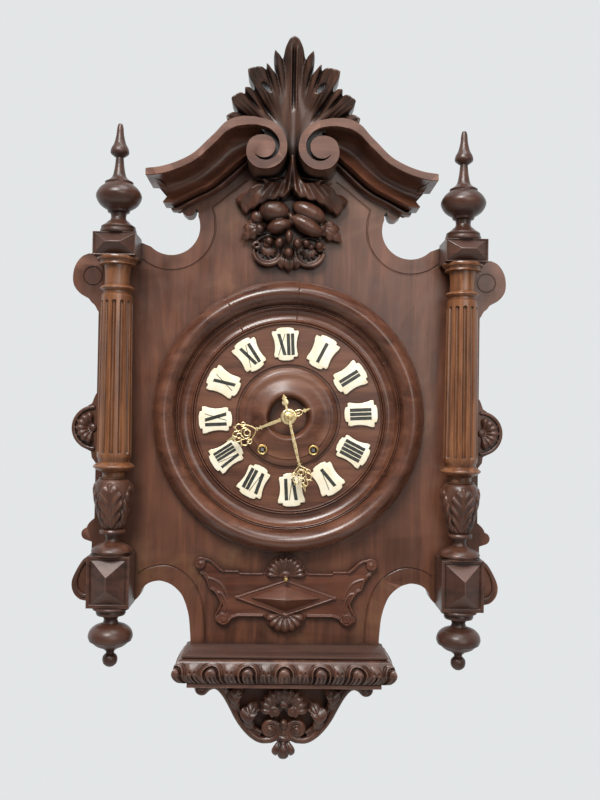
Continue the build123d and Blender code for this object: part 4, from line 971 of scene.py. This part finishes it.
def add_fruit():
    """Swag of leaves, gourds and berries between the volutes and the dial."""
    half = outline((0, 292), (3.0, 291), [(4.8, 282), (8, 273), (13, 266.5), (20, 264.5)],
                   [(28, 267.5), (35, 267)], (30.5, 262.4), [(39, 261.4), (47, 257.5)], (50, 252),
                   [(58, 251.8), (65, 247.6)], [(62.5, 243.4), (58.5, 241.6)], (58.5, 238.4),
                   [(56, 234), (51.5, 231)], (46.6, 235.4), [(43.5, 235.4), (40, 236.6)], (36.2, 239.4),
                   [(33.5, 239.4), (30, 240.6)], (26.4, 244.4), [(22, 243.4), (17.6, 244.4)], (14.4, 247.4),
                   [(11.4, 246.4), (8, 247.6)], (5.6, 251.2), [(3, 253), (1.2, 256.5)], (0, 257))
    upper_fold = [(8, -9, 274), (20, -15, 270.5), (32, -14, 270), (42, -9, 272)]
    lower_fold = [(14, -10, 266), (26, -15, 264), (38, -13, 265), (46, -8, 268)]
    folds = [tube(upper_fold, [1.4, 2.2, 1.9, 1.0], flat=0.9),
             tube(lower_fold, [1.4, 2.1, 1.8, 1.0], flat=0.9)]
    add_relief("swag_leaves", both_sides(half), ON_BOARD, swag_front, with_mirror(*folds), CARVED)
    long_leaf = [(24, -7, 222), (38, -12, 215), (48, -11, 209), (60, -6, 200)]
    short_leaf = [(30, -7, 224), (42, -11, 220), (50, -9, 217), (57, -5, 216)]
    side_leaves = [leaf(long_leaf, 9.0, 3, 0.35, 1.2, 0.8, 4, rows=44),
                   leaf(short_leaf, 5.5, 2, 0.35, 0.9, 0.6, 4, rows=34)]
    fruits = [
        ball((-19.5, -16, 233), (18, 14, 12.6), 8), ball((19.5, -17, 232), (20.5, 14, 11), 24),
        ball((17, -18, 216.5), (20.5, 13, 9), 28), ball((-13.5, -18, 215.5), (14.5, 13, 8), -12),
        ball((-39, -12, 227), (7.5, 8, 8)), ball((-36, -10, 214), (6.5, 7, 6)),
        ball((34, -10, 216), (7, 8, 7)), ball((-2.5, -22, 203), (4.4, 9, 7.5)),
        ball((-13, -18, 197), (5.0, 8, 6.2), 20), ball((7, -19, 196), (5, 8, 6), -20),
        ball((-3, -17, 186), (5.0, 8, 5.6)), ball((17, -12, 198), (5, 7, 4.6)),
        ball((-25, -12, 200), (5, 6, 4.4)), ball((32, -11, 196), (4.8, 6, 5)),
        ball((-1, -16, 226), (3.4, 8, 6))]
    cups = shell_cup(-26, 191, 19.5, -1) + shell_cup(21, 189.5, 19.0, 1)
    husk = [leaf([(-2, -3, 190), (-2, -10, 180), (-2, -10, 172), (-2, -4, 164.5)], 6.5, 0, 0.5, 1.2, 0.5, 4,
                 rows=30)]
    for path in ([(-4, -4, 188), (-9, -9, 180), (-11, -8, 174), (-8, -4, 168)],
                 [(1, -4, 188), (5, -9, 180), (7, -8, 174), (4, -4, 168)]):
        husk.append(leaf(path, 5.0, 0, 0.5, 1.0, 0.4, 4, rows=26))
    backing_half = [(0, 250), (30, 244), (40, 232), (40, 216), (34, 204), (20, 186), (7, 176), (0, 170)]
    backing = plate(both_sides(backing_half), -5.0, ON_BOARD)
    add_carving("fruit_swag", with_mirror(*side_leaves) + fruits + cups + husk + [backing], CARVED,
                ["fruit_carving"])


# ---------------------------------------------------------------- the columns

COLUMN_X = 193.5
COLUMN_Y = -27.0
FLUTES = 12
FLUTE_HALF = 2.5
FLUTE_DEPTH = 2.9
FLUTE_TOP = 126.0
FLUTE_BOTTOM = -44.0
VASE_LEAVES = 4
VASE_FOOT = -128.0
VASE_LEAF_HEIGHT = 57.0
BLOCK_X = 195.0
BLOCK_HALF = 23.4
BLOCK_TIP = -54.0              # front of the pyramids on the blocks


def flute(angles, z, r):
    """Depth taken off the shaft by its round-ended flutes."""
    if not FLUTE_BOTTOM < z < FLUTE_TOP:
        return 0 * angles
    from_end = min(FLUTE_TOP - z, z - FLUTE_BOTTOM)
    half = FLUTE_HALF * math.sqrt(max(0.0, 1 - max(0.0, 1 - from_end / FLUTE_HALF) ** 2))
    phase = (angles * FLUTES / TAU + 0.5) % 1 - 0.5
    across = phase * TAU / FLUTES * r
    hollow = np.sqrt(np.clip(1 - (across / (half + 1e-6)) ** 2, 0, 1))
    return -FLUTE_DEPTH * hollow * min(1, half / FLUTE_HALF + 0.2)


def acanthus(angles, z, r):
    """Relief of upright leaves on the vase: scalloped tops, a midrib and slanting veins."""
    height = (z - VASE_FOOT) / VASE_LEAF_HEIGHT
    if not 0 < height < 1:
        return 0 * angles
    phase = ((angles + math.pi / 2) * VASE_LEAVES / TAU + 0.5) % 1 - 0.5
    side = np.abs(phase) * 2
    tip = 0.93 - 0.34 * side ** 2.2
    rise = np.clip((tip - height) / 0.05, 0, 1)
    veins = np.cos(TAU * (height * 4.4 - side * 1.5))
    rib = np.exp(-(side / 0.09) ** 2)
    between = np.clip((side - 0.82) / 0.14, 0, 1)
    relief = rise * (1.3 + (0.5 + 0.6 * side) * veins * (side > 0.08) + 0.9 * rib - 2.4 * between)
    return relief * min(1.0, (z - VASE_FOOT) / 6) - 1.3


def both(part_at):
    """The same part at the left and at the right."""
    return [part_at(-1), part_at(1)]


def add_turned(name, profile, sides, swell, material, node, sharp=35.0):
    """The same turning in both columns."""
    turnings = both(lambda s: lathe_z(profile, s * COLUMN_X, COLUMN_Y, sides, swell))
    add_piece(name, turnings, material, [node], sharp=sharp)


def add_blocks(name, heights, y_margin, margin, tip, node):
    """The same square block in both columns, with a pyramid on its front."""
    blocks = both(lambda s: facet_block(s * BLOCK_X, BLOCK_HALF, *heights, y_margin, BLOCK_TIP, margin, tip))
    pair = add_piece(name, blocks, TURNED_DARK, [node])
    bevelled(pair, 0.5)


def add_columns():
    finial = outline((0.01, 200.7), (19.6, 200.7), [(20.2, 202.5), (19.8, 205.6)], (18.6, 206.4),
                     [(18.8, 209), (14.5, 212), (11.5, 215)], (9.6, 216), [(8.3, 219.5), (8.9, 224)],
                     (12, 225.5), (12.6, 228), [(21, 234), (25.3, 243), (22, 251), (15.5, 257)], (15.8, 259),
                     [(11, 262), (7.6, 266), (5.4, 276), (4.3, 287)], (6.6, 288.6),
                     [(10.2, 292), (9.6, 297), (6.6, 303), (4.4, 312), (3.6, 320), (2.4, 324.6),
                      (0.01, 325.8)])
    add_turned("finials", finial, 96, None, TURNED_DARK, "top_finials")
    add_blocks("cap_blocks", (175.1, 200.6), -44.5, 0.8, (8.5, 0.7), "top_blocks")
    add_blocks("base_blocks", (-212.7, -156.1), -42.0, 3.5, (0.5, 7.5), "bottom_blocks")

    levels = np.r_[np.arange(FLUTE_TOP + 1.2, FLUTE_TOP - 4, -0.4),
                   np.linspace(FLUTE_TOP - 6, FLUTE_BOTTOM + 6, 30),
                   np.arange(FLUTE_BOTTOM + 4, FLUTE_BOTTOM - 1.4, -0.4)]
    body = np.column_stack([17.1 + 1.7 * (FLUTE_TOP - levels) / (FLUTE_TOP - FLUTE_BOTTOM), levels])
    shaft = np.vstack([
        outline((0.01, 174.9), (22.4, 174.9), [(22.9, 173), (22.4, 171.2)], (20.4, 170.6),
                [(19.4, 168.4), (20, 166.4)], (15.0, 165.4), [(13.9, 154), (14.2, 143.6)], (16.6, 142.4),
                [(19.2, 140), (16.6, 137.4)], (15.4, 136.6), (15.4, 133.8), (16.9, 132.6), (17.05, 129)),
        body,
        outline((18.7, -46.5), (18.7, -48), (17.2, -50), (17.2, -53), (18.4, -54), [(22.8, -58), (18.4, -62)],
                (16.4, -62.6), (12.2, -65), (12.2, -69.9), (0.01, -69.9))])
    add_turned("fluted_shafts", shaft, 288, flute, SHAFTS, "column_shafts", 38)

    vase_body = smooth([(15.5, -70.6), (19.4, -74.5), (21.2, -80), (21.6, -87), (19.9, -98), (16.6, -110),
                        (13.2, -121), (11.6, -127)], 14)
    vase = np.vstack([outline((0.01, -70.1), (15.0, -70.1)), vase_body,
                      outline((13.4, -128), [(14.3, -130), (13.4, -132)], (8.4, -133),
                              [(7.2, -137), (8.2, -141)], (11, -142.4),
                              [(18.5, -146), (22.8, -151), (20.6, -154.4)], (20.6, -155.9), (0.01, -155.9))])
    add_turned("acanthus_vases", vase, 240, acanthus, CARVED, "column_vases", sharp=38)

    drop = outline((0.01, -212.9), (19.8, -212.9), [(20.4, -214.4), (19.8, -215.8)], (16, -217.2),
                   [(16.4, -219.6), (15.4, -222)], (9.2, -223.6), [(7.6, -227), (8.6, -231)], (12, -232.2),
                   [(18, -234.6), (22.8, -239.4), (24.5, -245.4), (23.0, -250.4)], (20.8, -251.4),
                   [(16, -255.6), (10.5, -258.2)], (8.6, -258.8), (6.2, -260.8), (4.4, -262.4), (4.6, -264.4),
                   [(7.4, -267.4), (8.3, -271.2), (7.2, -275.6), (3.6, -278.8), (0.01, -279.5)])
    add_turned("drops", drop, 96, None, TURNED_DARK, "drop_finials")


# ---------------------------------------------------------------- the dial

ARBOR_X = 29.0                 # winding holes, either side of the dial's middle
ARBOR_Z = -37.5
CRACKS = ((4.0, 0.30, 0.5), (-29.0, 0.35, 0.45), (171.5, 0.30, 0.6))  # clockwise turn, half width, depth
PLAQUE_R = 83.0
PLAQUE_TURN = 3.0
PLAQUE_Y = (-9.6, -7.0)
NUMERALS = ("XII", "I", "II", "III", "IIII", "V", "VI", "VII", "VIII", "IX", "X", "XI")
THICK = 1.95                   # half widths of the numerals' strokes
THIN = 0.4
NUMERAL_HALF = 12.3


def cracked(angles, r, y):
    """Narrow splits in the bezel at its joints."""
    depth = 0 * angles
    if y > -3:
        return depth
    for turn, half, deep in CRACKS:
        off = np.abs((angles - math.radians(turn) + math.pi) % TAU - math.pi) * r
        depth = depth + deep * np.clip(1 - off / half, 0, 1)
    return depth


def add_dial():
    bezel = outline((108.2, 0), (156, 0), (156, -3), (154.5, -4),
                    [(153.5, -9), (150.5, -17), (146, -22.5), (141, -24.8), (136, -23), (131.5, -18),
                     (129, -13)], (128, -12), [(127, -13.2), (126, -12)], [(125, -13.2), (124, -12)],
                    (123.5, -11), [(121, -7.5), (116, -5.5), (111.5, -6.5)], (110.5, -8),
                    [(109.5, -9.6), (108.4, -8.5)])
    add_piece("turned_bezel", lathe_y(bezel, 1080, cracked, closed=True), TURNED, ["dial_bezel"])
    plate_line = outline((6, 0), (108, 0), (108, -8.5), [(107, -9.8), (106, -8.5)], (105.6, -7), (60, -7),
                         (59.5, -5.5), (57, -5.5), (56.5, -7), (56, -8), [(52, -10.5), (48.5, -11.5)],
                         (48, -12.6), [(42, -13), (34, -16.2), (28, -18.4), (24.5, -17.5), (22, -12.5),
                                       (21, -6)], (20.5, -4.2), (6, -4.2))
    dial = add_piece("turned_dial", lathe_y(plate_line, 288, closed=True), DIAL_WOOD, ["dial_plate"])
    for side in (-1, 1):
        cut(dial, [lathe_y([(0, -30), (6.0, -30), (6.0, 3), (0, 3)], 64, x=side * ARBOR_X, z=ARBOR_Z)])
    shade(dial, 32)
    ring = outline((3.5, -7.6), (5.95, -7.6), (5.95, -14), [(5.6, -15.0), (4.7, -15.2), (3.9, -14.6)],
                   (3.5, -13.6))
    grommets = both(lambda s: lathe_y(ring, 64, x=s * ARBOR_X, z=ARBOR_Z, closed=True))
    add_piece("key_grommets", grommets, BRASS, ["winding_grommets"])


def placed(points, turn, radius):
    """Local points, across and outward, set on the dial at a clockwise turn."""
    a = math.radians(turn)
    points = np.array(points, float)
    out = radius + points[:, 1]
    x = points[:, 0] * math.cos(a) + out * math.sin(a)
    z = -points[:, 0] * math.sin(a) + out * math.cos(a)
    return np.column_stack([x, z])


def numeral_strokes(text):
    """Strokes of a Roman numeral: bottom x, top x and half width, drawn upright about its middle."""
    strokes = []
    x = 0.0
    for letter in text:
        if letter == "I":
            strokes.append((x + THICK, x + THICK, THICK))
            x += 2 * THICK + 0.9
        elif letter == "V":
            strokes.append((x + 5.2, x + THICK, THICK))
            strokes.append((x + 5.6, x + 10.0, THIN))
            x += 11.2
        else:
            strokes.append((x + 8.6, x + THICK + 0.4, THICK))
            strokes.append((x + 1.2, x + 9.6, THIN))
            x += 11.2
    width = x - 1.0
    return [(low - width / 2, high - width / 2, half) for low, high, half in strokes], width


def add_plaques():
    half = outline((0, 19.0), [(5, 18.9), (10, 17.6)], (10, 15), (15.0, 15), (15.5, 14.4), (15.5, 11.4),
                   [(13.6, 6), (12.5, -1), (12.7, -7), (13.6, -12.2)], (13.0, -15), (8.5, -15), (8.5, -17.5),
                   [(4, -18.8), (0, -19)])
    enamels = []
    marks = []
    for hour, text in enumerate(NUMERALS):
        turn = hour * 30 - PLAQUE_TURN
        enamels.append(plate(placed(both_sides(half), turn, PLAQUE_R), PLAQUE_Y[0], PLAQUE_Y[1]))
        strokes, width = numeral_strokes(text)
        narrow = min(1.0, 20.0 / width)
        for low, high, stroke in strokes:
            corners = [(low - stroke, -NUMERAL_HALF), (low + stroke, -NUMERAL_HALF),
                       (high + stroke, NUMERAL_HALF), (high - stroke, NUMERAL_HALF)]
            corners = [(x * narrow, z) for x, z in corners]
            marks.append(plate(placed(corners, turn, PLAQUE_R - 0.4), PLAQUE_Y[0] - 0.12, PLAQUE_Y[0] + 0.4))
    cartouches = add_piece("enamel_cartouches", enamels, ENAMEL, ["hour_plaques"])
    bevelled(cartouches, 0.8, 3)
    shade(cartouches, 50)
    add_piece("roman_numerals", marks, INK, sharp=30)


HAND_TILT = {"hour": 248.0, "minute": 166.5}
HOUR_HAND_Y = (-22.0, -20.8)
MINUTE_HAND_Y = (-26.0, -24.8)
HAND_HALF = 0.62               # half the thickness of the filigree


def hand_parts(turn, y, length, cluster, tail, boss, scale):
    """Openwork hand drawn upwards: blade, filigree of scrolls, spear tip and tail."""
    mid = (y[0] + y[1]) / 2
    parts = []

    def bar(points, radii):
        path = smooth(points, 6)
        width = np.interp(np.linspace(0, 1, len(path)), np.linspace(0, 1, len(radii)), radii)
        parts.append(rod(placed(path, turn, 0.0), mid, width, flat=HAND_HALF / max(radii)))

    def hoop(x, z, r, thick):
        ring = placed(arc(x, z, r, 0, 360, 30), turn, 0.0)
        parts.append(rod(ring, mid, thick, flat=HAND_HALF / thick))

    def solid(points):
        parts.append(plate(placed(points, turn, 0.0), y[0], y[1]))

    base = cluster - 13 * scale
    solid(both_sides([(0, base), (0.9, base), (1.5, base - 10), (2.0, base - 22), (1.3, 8), (0, 0)]))
    for z in (base - 1, base - 5 * scale, 10.5):
        solid(both_sides([(0, z + 1.6), (2.6 * scale, z), (0, z - 1.6)]))
    for side in (-1, 1):
        s = side * scale
        bar([(0, base), (3.5 * s, base + 3), (7 * s, cluster - 7), (8.5 * s, cluster - 2)], [0.9, 0.75, 0.7])
        bar([(8.5 * s, cluster - 2), (11 * s, cluster + 2), (8.5 * s, cluster + 6), (4.5 * s, cluster + 4.5),
             (5 * s, cluster + 1.5)], [0.75, 0.8, 0.6])
        bar([(0, cluster - 8), (4.5 * s, cluster - 5), (4.8 * s, cluster), (0, cluster + 3)], [0.7, 0.8, 0.7])
        bar([(4.5 * s, cluster + 4.5), (5.2 * s, cluster + 9), (2.6 * s, cluster + 12), (0, cluster + 9)],
            [0.7, 0.75, 0.7])
        hoop(8.8 * s, cluster - 3.4, 2.2 * scale, 0.6)
        solid(placed([(0, 3.0), (1.6, 0), (0, -1.2), (-1.6, 0)], side * 62, 0) + [8.6 * s, cluster + 6.4])
    hoop(0, cluster - 4, 2.9 * scale, 0.7)
    hoop(0, cluster + 5.4, 2.4 * scale, 0.65)
    solid(both_sides([(0, length), (0.9, length - 3.5), (2.2, cluster + 12), (1.0, cluster + 10),
                      (0, cluster + 9)]))
    parts.append(lathe_y([(0.05, y[0]), (boss, y[0]), (boss, y[1]), (0.05, y[1])], 60))
    solid(both_sides([(0, 0), (1.3, 0), (1.1, -tail + 13), (0, -tail + 13)]))
    if scale < 1:
        hoop(0, -tail + 9.5, 3.0, 0.9)
        solid(both_sides([(0, 13 - tail), (2.6, 11 - tail), (1.2, 6.5 - tail), (3.0, 5 - tail), (0, -tail)]))
    else:
        for side in (1, -1):
            bar([(0, -6), (side * 3.2, -10), (side * 2.4, -15), (0, -17.5)], [0.7, 0.75, 0.6])
        solid(both_sides([(0, -16), (1.2, -18), (3.0, -19.5), (1.6, -20.5), (0, -tail)]))
    return parts


def add_hands():
    hour_parts = hand_parts(HAND_TILT["hour"], HOUR_HAND_Y, 75, 54, 27, 8.4, 1.15)
    hour = add_carving("openwork_hour_hand", hour_parts, GILT, ["hour_hand"], "hour_hand",
                       0.22, 1, 45)
    minute_parts = hand_parts(HAND_TILT["minute"], MINUTE_HAND_Y, 87, 68, 26, 4.4, 0.95)
    minute = add_carving("openwork_minute_hand", minute_parts, GILT, ["minute_hand"], "minute_hand",
                         0.22, 1, 45)
    for hand, hole in ((hour, 2.5), (minute, 1.7)):
        cut(hand, [lathe_y([(0, -40), (hole, -40), (hole, 0), (0, 0)], 48)])
        shade(hand, 45)
    hour_boss = lathe_y([(2.5, -22.9), (7.4, -22.9), (7.9, -22.5), (8.8, -22.4), (8.8, -20.9), (2.5, -20.9)],
                        72, closed=True)
    add_piece("hour_hand_boss", hour_boss, GILT, body="hour_hand")
    minute_boss = lathe_y([(1.7, -26.7), (3.9, -26.6), (4.8, -26.0), (5.0, -24.7), (1.7, -24.7)], 60,
                          closed=True)
    add_piece("minute_hand_boss", minute_boss, GILT, body="minute_hand")
    collet = lathe_y([(1.65, -27.4), (3.4, -27.4), (3.6, -27.0), (3.6, -26.0), (1.65, -26.0)],
                     48, closed=True)
    nut = lathe_y([(1.65, -28.4), (2.5, -28.3), (2.9, -27.4), (1.65, -27.4)], 6, closed=True)
    add_piece("hand_nut_turned", [collet, nut], GILT, ["hand_nut"], "minute_hand")


# ---------------------------------------------------------------- below the dial

SCROLL_EYE = (97.0, -168.0)
DIAMOND_MID = -206.0


def add_strapwork():
    half = outline((0, -158.5), [(8, -159.5), (15, -164), (21, -172)], (25, -178.4), (53, -178.4),
                   (54, -175.8), (71, -175.8),
                   [(78, -170.5), (84, -164.5), (92, -161.5), (99, -162.5), (103, -168), (101, -175),
                    (97, -179)], [(91, -184), (87, -191), (85, -198)], (79, -200),
                   [(75, -207), (71, -214), (74, -221), (79, -228), (77, -235), (70, -239), (64, -236),
                    (61, -230.5)], (54, -228), (24, -228), [(20, -236), (12, -243), (0, -246.5)])
    panel = plate(both_sides(half), -4.0, ON_BOARD)
    top_rim = [(26, -179.4), (52.5, -179.4), (54.6, -177.0), (71, -177.0)]
    top_curl = smooth([(71, -177), (77, -172.5), (84, -166), (91, -163.2), (98, -164.2), (101, -168.6)], 6)
    side_rim = smooth([(97, -178.5), (92, -182), (88.5, -189), (86, -196), (81, -199), (76, -206), (73, -213),
                       (75.5, -220), (79, -227), (77, -233.5), (70.5, -236.5), (65, -233.6),
                       (61.5, -229.4)], 6)
    low_rim = [(61.5, -229.4), (54, -226.8), (25, -226.8)]
    long_vein = smooth([(93, -184), (84, -186), (76, -190), (70, -198), (66, -208)], 6)
    short_vein = smooth([(80, -201), (74, -202), (69, -208), (67, -216), (70, -224)], 6)
    right = [rod(np.vstack([top_rim, top_curl]), -4.6, 1.35, flat=1.1), rod(top_curl, -6.2, 1.5),
             rod(side_rim, -4.6, 1.3, flat=1.1), rod(low_rim, -4.6, 1.3, flat=1.1),
             rod(spiral(*SCROLL_EYE, 6.6, 3.0, 150, -1.2), -6.2, 1.7),
             ball((97, -6.6, -168.4), (3.4, 2.4, 3.6)), ball((71, -4.6, -230), (6.5, 2.2, 6.0)),
             rod(spiral(70.5, -230, 6.0, 2.6, -60, 1.1), -5.6, 1.3),
             rod(long_vein, -4.2, 1.0, 8), rod(short_vein, -4.2, 1.0, 8)]
    strap = both_sides([(0, -187.0), (56.0, DIAMOND_MID), (0, -225.6)])
    frame_bars = [rod([a, b], -6.0, 1.75, 4, 0.9) for a, b in zip(strap, np.roll(strap, -1, axis=0))]
    corners = [ball((x, -6.0, z), (1.8, 1.6, 1.8)) for x, z in strap]
    bead = ball((0, -7.0, -182.2), (3.6, 4.0, 3.2))
    add_carving("strapwork", with_mirror(*right) + [panel] + frame_bars + corners + [bead], PANEL,
                ["strapwork_panel"], voxel=0.6)
    top = shell(0, -182.5, 25.5, 11, 0, 180, -5.2, 2.2)
    low = shell(0, -222.5, 25.5, 7, -8, -172, -4.6, 3.0)
    hearts = [ball((0, -4, -180), (6, 3.4, 5)), ball((0, -4, -226), (7, 3.2, 4))]
    add_carving("strapwork_fans", top + low + hearts, CARVED, voxel=0.5)
    brass_knob = lathe_y([(0.01, -4), (1.8, -4), (1.8, -12.0), (2.6, -13.0), (2.8, -14.6), (1.9, -16.0),
                          (0.01, -16.4)], 32, x=0, z=-183.5)
    add_piece("panel_knob", brass_knob, BRASS)


def add_diamond():
    """Low pyramid with a shallow margin, its apex drawn out into a short upright ridge."""
    rings = []
    for half_x, half_z, y in ((53.5, 18.2, -4.0), (53.5, 18.2, -6.4), (39.5, 15.2, -6.6), (37.5, 14.4, -8.4)):
        rings.append([(0, y, DIAMOND_MID + half_z), (half_x, y, DIAMOND_MID), (0, y, DIAMOND_MID - half_z),
                      (-half_x, y, DIAMOND_MID)])
    rings.append([(0, -19.4, DIAMOND_MID + 2.2), (0.4, -20.0, DIAMOND_MID), (0, -19.4, DIAMOND_MID - 2.2),
                  (-0.4, -20.0, DIAMOND_MID)])
    verts = np.array([v for ring in rings for v in ring])
    faces = grid_faces(5, 4, wrap_cols=True) + [(3, 2, 1, 0), (16, 17, 18, 19)]
    boss = add_piece("diamond_pyramid", (verts, faces), PANEL, ["diamond_boss"])
    bevelled(boss, 0.35, 2, 12)
    shade(boss, 20)


EGG_PITCH = 38.6
EGG_HALF = 9.4
SHELF_HALF = 111.5             # plan of the carved band before its bulge: half width and front depth
SHELF_FRONT = -38.5


def egg_relief(along, z):
    """Height of the egg-and-tongue carving at a place along the shelf's edge."""
    d = np.abs((along / EGG_PITCH + 0.5) % 1 - 0.5) * EGG_PITCH
    q = np.where(z < -281.0, d, np.hypot(d, z + 281.0))
    height = 1.7 * bell(q, EGG_HALF, 1.2) - 1.9 * bell(q, EGG_HALF - 2.4, 1.0)
    height += 2.0 * np.sqrt(np.clip(1 - (q / 6.2) ** 2, 0, 1)) - 1.2 * bell(q, EGG_HALF + 2.6, 1.0)
    w = EGG_PITCH / 2 - d
    height += 1.9 * np.sqrt(np.clip(1 - (w / 5.4) ** 2, 0, 1)) * (0.6 + 0.4 * np.cos((z + 280) / 3.4))
    height -= 1.7 * bell(w, 2.7, 0.9) * bell(z, -279.5, 1.6) + 1.2 * bell(w, 0, 0.7) * ease(z, -278, -283)
    slots = 0.5 + 0.5 * np.cos(TAU * along / 4.6)
    height -= 1.9 * slots ** 2 * ease(-z, 281.5, 284.5)
    return height * ease(-z, 269.5, 273.5) * ease(z, -294.5, -292.0)


def add_shelf():
    """Shelf whose rounded edge carries the egg-and-tongue band, over a plain fillet."""
    bulge = smooth([(0.0, -266.2), (4.8, -268.2), (7.2, -272.6), (9.0, -278), (9.4, -283), (7.2, -288),
                    (2.8, -292.4), (-2.5, -294.6)], 8)
    count = 110
    sides = np.linspace(0, 1, count)
    fronts = np.linspace(-1, 1, 520)[1:-1]
    from_corner = (BOARD_BACK - SHELF_FRONT) * (1 - sides)
    corner = 3 * EGG_PITCH
    along = np.r_[corner + from_corner, fronts * corner, corner + from_corner[::-1]]
    verts = []
    for out, z in bulge:
        relief = egg_relief(along, np.full(len(along), z))
        half = SHELF_HALF + out + relief
        front = SHELF_FRONT - out - relief
        x = np.r_[-half[:count], fronts * (SHELF_HALF + out), half[-count:]]
        y = np.r_[BOARD_BACK + (front[:count] - BOARD_BACK) * sides, front[count:-count],
                  BOARD_BACK + (front[-count:] - BOARD_BACK) * sides[::-1]]
        verts.append(np.column_stack([x, y, np.full(len(x), z)]))
    rows, cols = len(verts), len(verts[0])
    faces = grid_faces(rows, cols)
    faces += [(i * cols, (i + 1) * cols, (i + 1) * cols + cols - 1, i * cols + cols - 1)
              for i in range(rows - 1)]
    faces += [tuple(range(cols - 1, -1, -1)), tuple(range((rows - 1) * cols, rows * cols))]
    band = (np.vstack(verts), faces)
    top = stack([(half, y, BOARD_BACK, z) for half, y, z in (
        (105.5, -31.5, -260.0), (107, -33, -260.8), (111.6, -38.4, -263.2), (113.2, -40.0, -263.6),
        (113.2, -40.0, -265.4), (112.2, -39.0, -266.4))])
    foot = stack([(half, y, BOARD_BACK, z) for half, y, z in (
        (105, -33.6, -293.0), (105, -33.6, -294.8), (107.4, -36.2, -295.2), (107.4, -36.2, -299.0),
        (106.6, -35.4, -299.6))])
    add_piece("egg_and_tongue_shelf", [band, foot], CARVED, ["shelf_moulding"], sharp=50)
    # The shelf's top slab is kept dark by painted shade in its colour.
    add_piece("shelf_top_slab", top, SHADED_WALNUT, sharp=50)


def add_bracket():
    """Pierced bracket: S-shaped bands curling in to two scrolls, leaves, a fan and a lobed drop."""
    outer = [(84, -303.0), (92, -303.5), (97, -307), (96, -311), (91, -311.5), (86, -306.5), (79, -303.6),
             (72, -306), (65, -314), (58, -326), (51, -339), (43, -350), (34, -358.5), (25, -363), (15, -363)]
    scroll = spiral(15.0, -351.0, 11.5, 3.2, -90, -1.4, 44)
    band = np.vstack([smooth(outer, 6), scroll[1:]])
    at = np.arange(len(band))
    wide = np.interp(at, [0, 14, 44, len(band) - 34, len(band)], [1.8, 3.0, 4.4, 3.6, 2.0])
    inner = smooth([(74, -301), (65, -308), (56.5, -318), (49.5, -330), (42.5, -341), (34, -350),
                    (25, -356)], 6)
    lower_leaf = [(30, -12, -356), (37, -19, -345), (37.5, -22, -333), (29, -15, -319)]
    upper_leaf = [(47, -11, -334), (52.5, -18, -324), (53, -20, -313), (44, -13, -302)]
    right = [
        rod(band, np.interp(at, [0, len(band)], [-11.0, -17.0]), wide, 12),
        rod(smooth(outer, 6)[6:], -2.0, 5.2, 8, 2.2),
        rod(inner, -13.0, np.interp(np.arange(len(inner)), [0, 10, len(inner)], [2.0, 4.0, 2.6]), 12),
        ball((91, -12, -307), (4.4, 4.0, 3.6)), ball((15, -17, -351), (4.8, 4.6, 4.8)),
        leaf(lower_leaf, 10.0, 3, 0.4, 1.2, 1.0, 6, rows=60, swell=1.35, base=0.1, lean=0.9),
        leaf(upper_leaf, 8.6, 3, 0.4, 1.2, 1.0, 6, rows=60, swell=1.35, base=0.1, lean=0.9),
        rod(spiral(9.5, -329.5, 5.4, 2.0, -60, 1.3), -22.5, 2.1), ball((9.5, -22, -329.5), (2.8, 3.0, 2.8))]
    fan = shell(0, -330, 31, 11, -6, 186, -17.0, 5.0)
    collar = [rod(arc(0, -330, 14.5, 20, 160, 24), -20.5, 1.8), ball((0, -21, -322), (5.5, 3.5, 4.5))]
    drop = [leaf([(0, -14, -360), (0, -22, -369), (0, -21, -378), (0, -14, -385.3)], 6.2, 0, 0.6, 0.8, 0.3, 5,
                 rows=30, cols=15, swell=1.3)]
    drop += [leaf([(s * 2.5, -12, -361), (s * 6.4, -18, -368), (s * 8.6, -18, -375), (s * 8.0, -12, -382.5)],
                  4.6, 0, 0.6, 0.8, 0.3, 5, rows=30, cols=15, swell=1.3) for s in (1, -1)]
    drop += [ball((0, -15, -361), (8, 6, 4.6)), ball((0, -18, -345), (4.6, 4.5, 6)),
             ball((0, -16, -354), (3.8, 4.4, 5))]
    slab_half = outline((0, -299.8), (97, -299.8), (94, -303),
                        [(84, -304), (74, -305), (67, -313), (58, -328), (49, -341), (40, -352), (29, -360),
                         (15, -364)], (6, -368), (0, -369))
    backing = plate(both_sides(slab_half), -6.0, 8.0)
    rear_half = outline((0, -299.8), (90, -299.8),
                        [(72, -304), (60, -318), (48, -334), (34, -348), (18, -356)], (0, -360))
    rear = plate(both_sides(rear_half), 7.0, BOARD_BACK)
    add_carving("scroll_bracket", with_mirror(*right) + fan + collar + drop + [backing, rear], CARVED,
                ["bracket_carving"], voxel=0.75)


# ---------------------------------------------------------------- rear case and movement

CAD_MATERIALS = {"walnut": WALNUT, "turned_walnut": TURNED, "column_walnut": SHAFTS, "case_wood": CASE_WOOD,
                 "enamel": ENAMEL, "brass": BRASS, "gilt": GILT, "steel": STEEL, "iron": IRON}


def dress_cad_nodes():
    """Gives every CAD node the material of its slot in the record."""
    for part in frame["record"]["subparts"]:
        node = frame["nodes"][part["node"]]
        material = CAD_MATERIALS[part["material_slot"]]
        node.data.materials.clear()
        node.data.materials.append(material)


dress_cad_nodes()
add_board()
add_ear_carvings()
add_pediment("pediment_scroll_right", False, "pediment_moulding_right")
add_pediment("pediment_scroll_left", True, "pediment_moulding_left")
add_crest()
add_fruit()
add_columns()
add_dial()
add_plaques()
add_hands()
add_strapwork()
add_diamond()
add_shelf()
add_bracket()
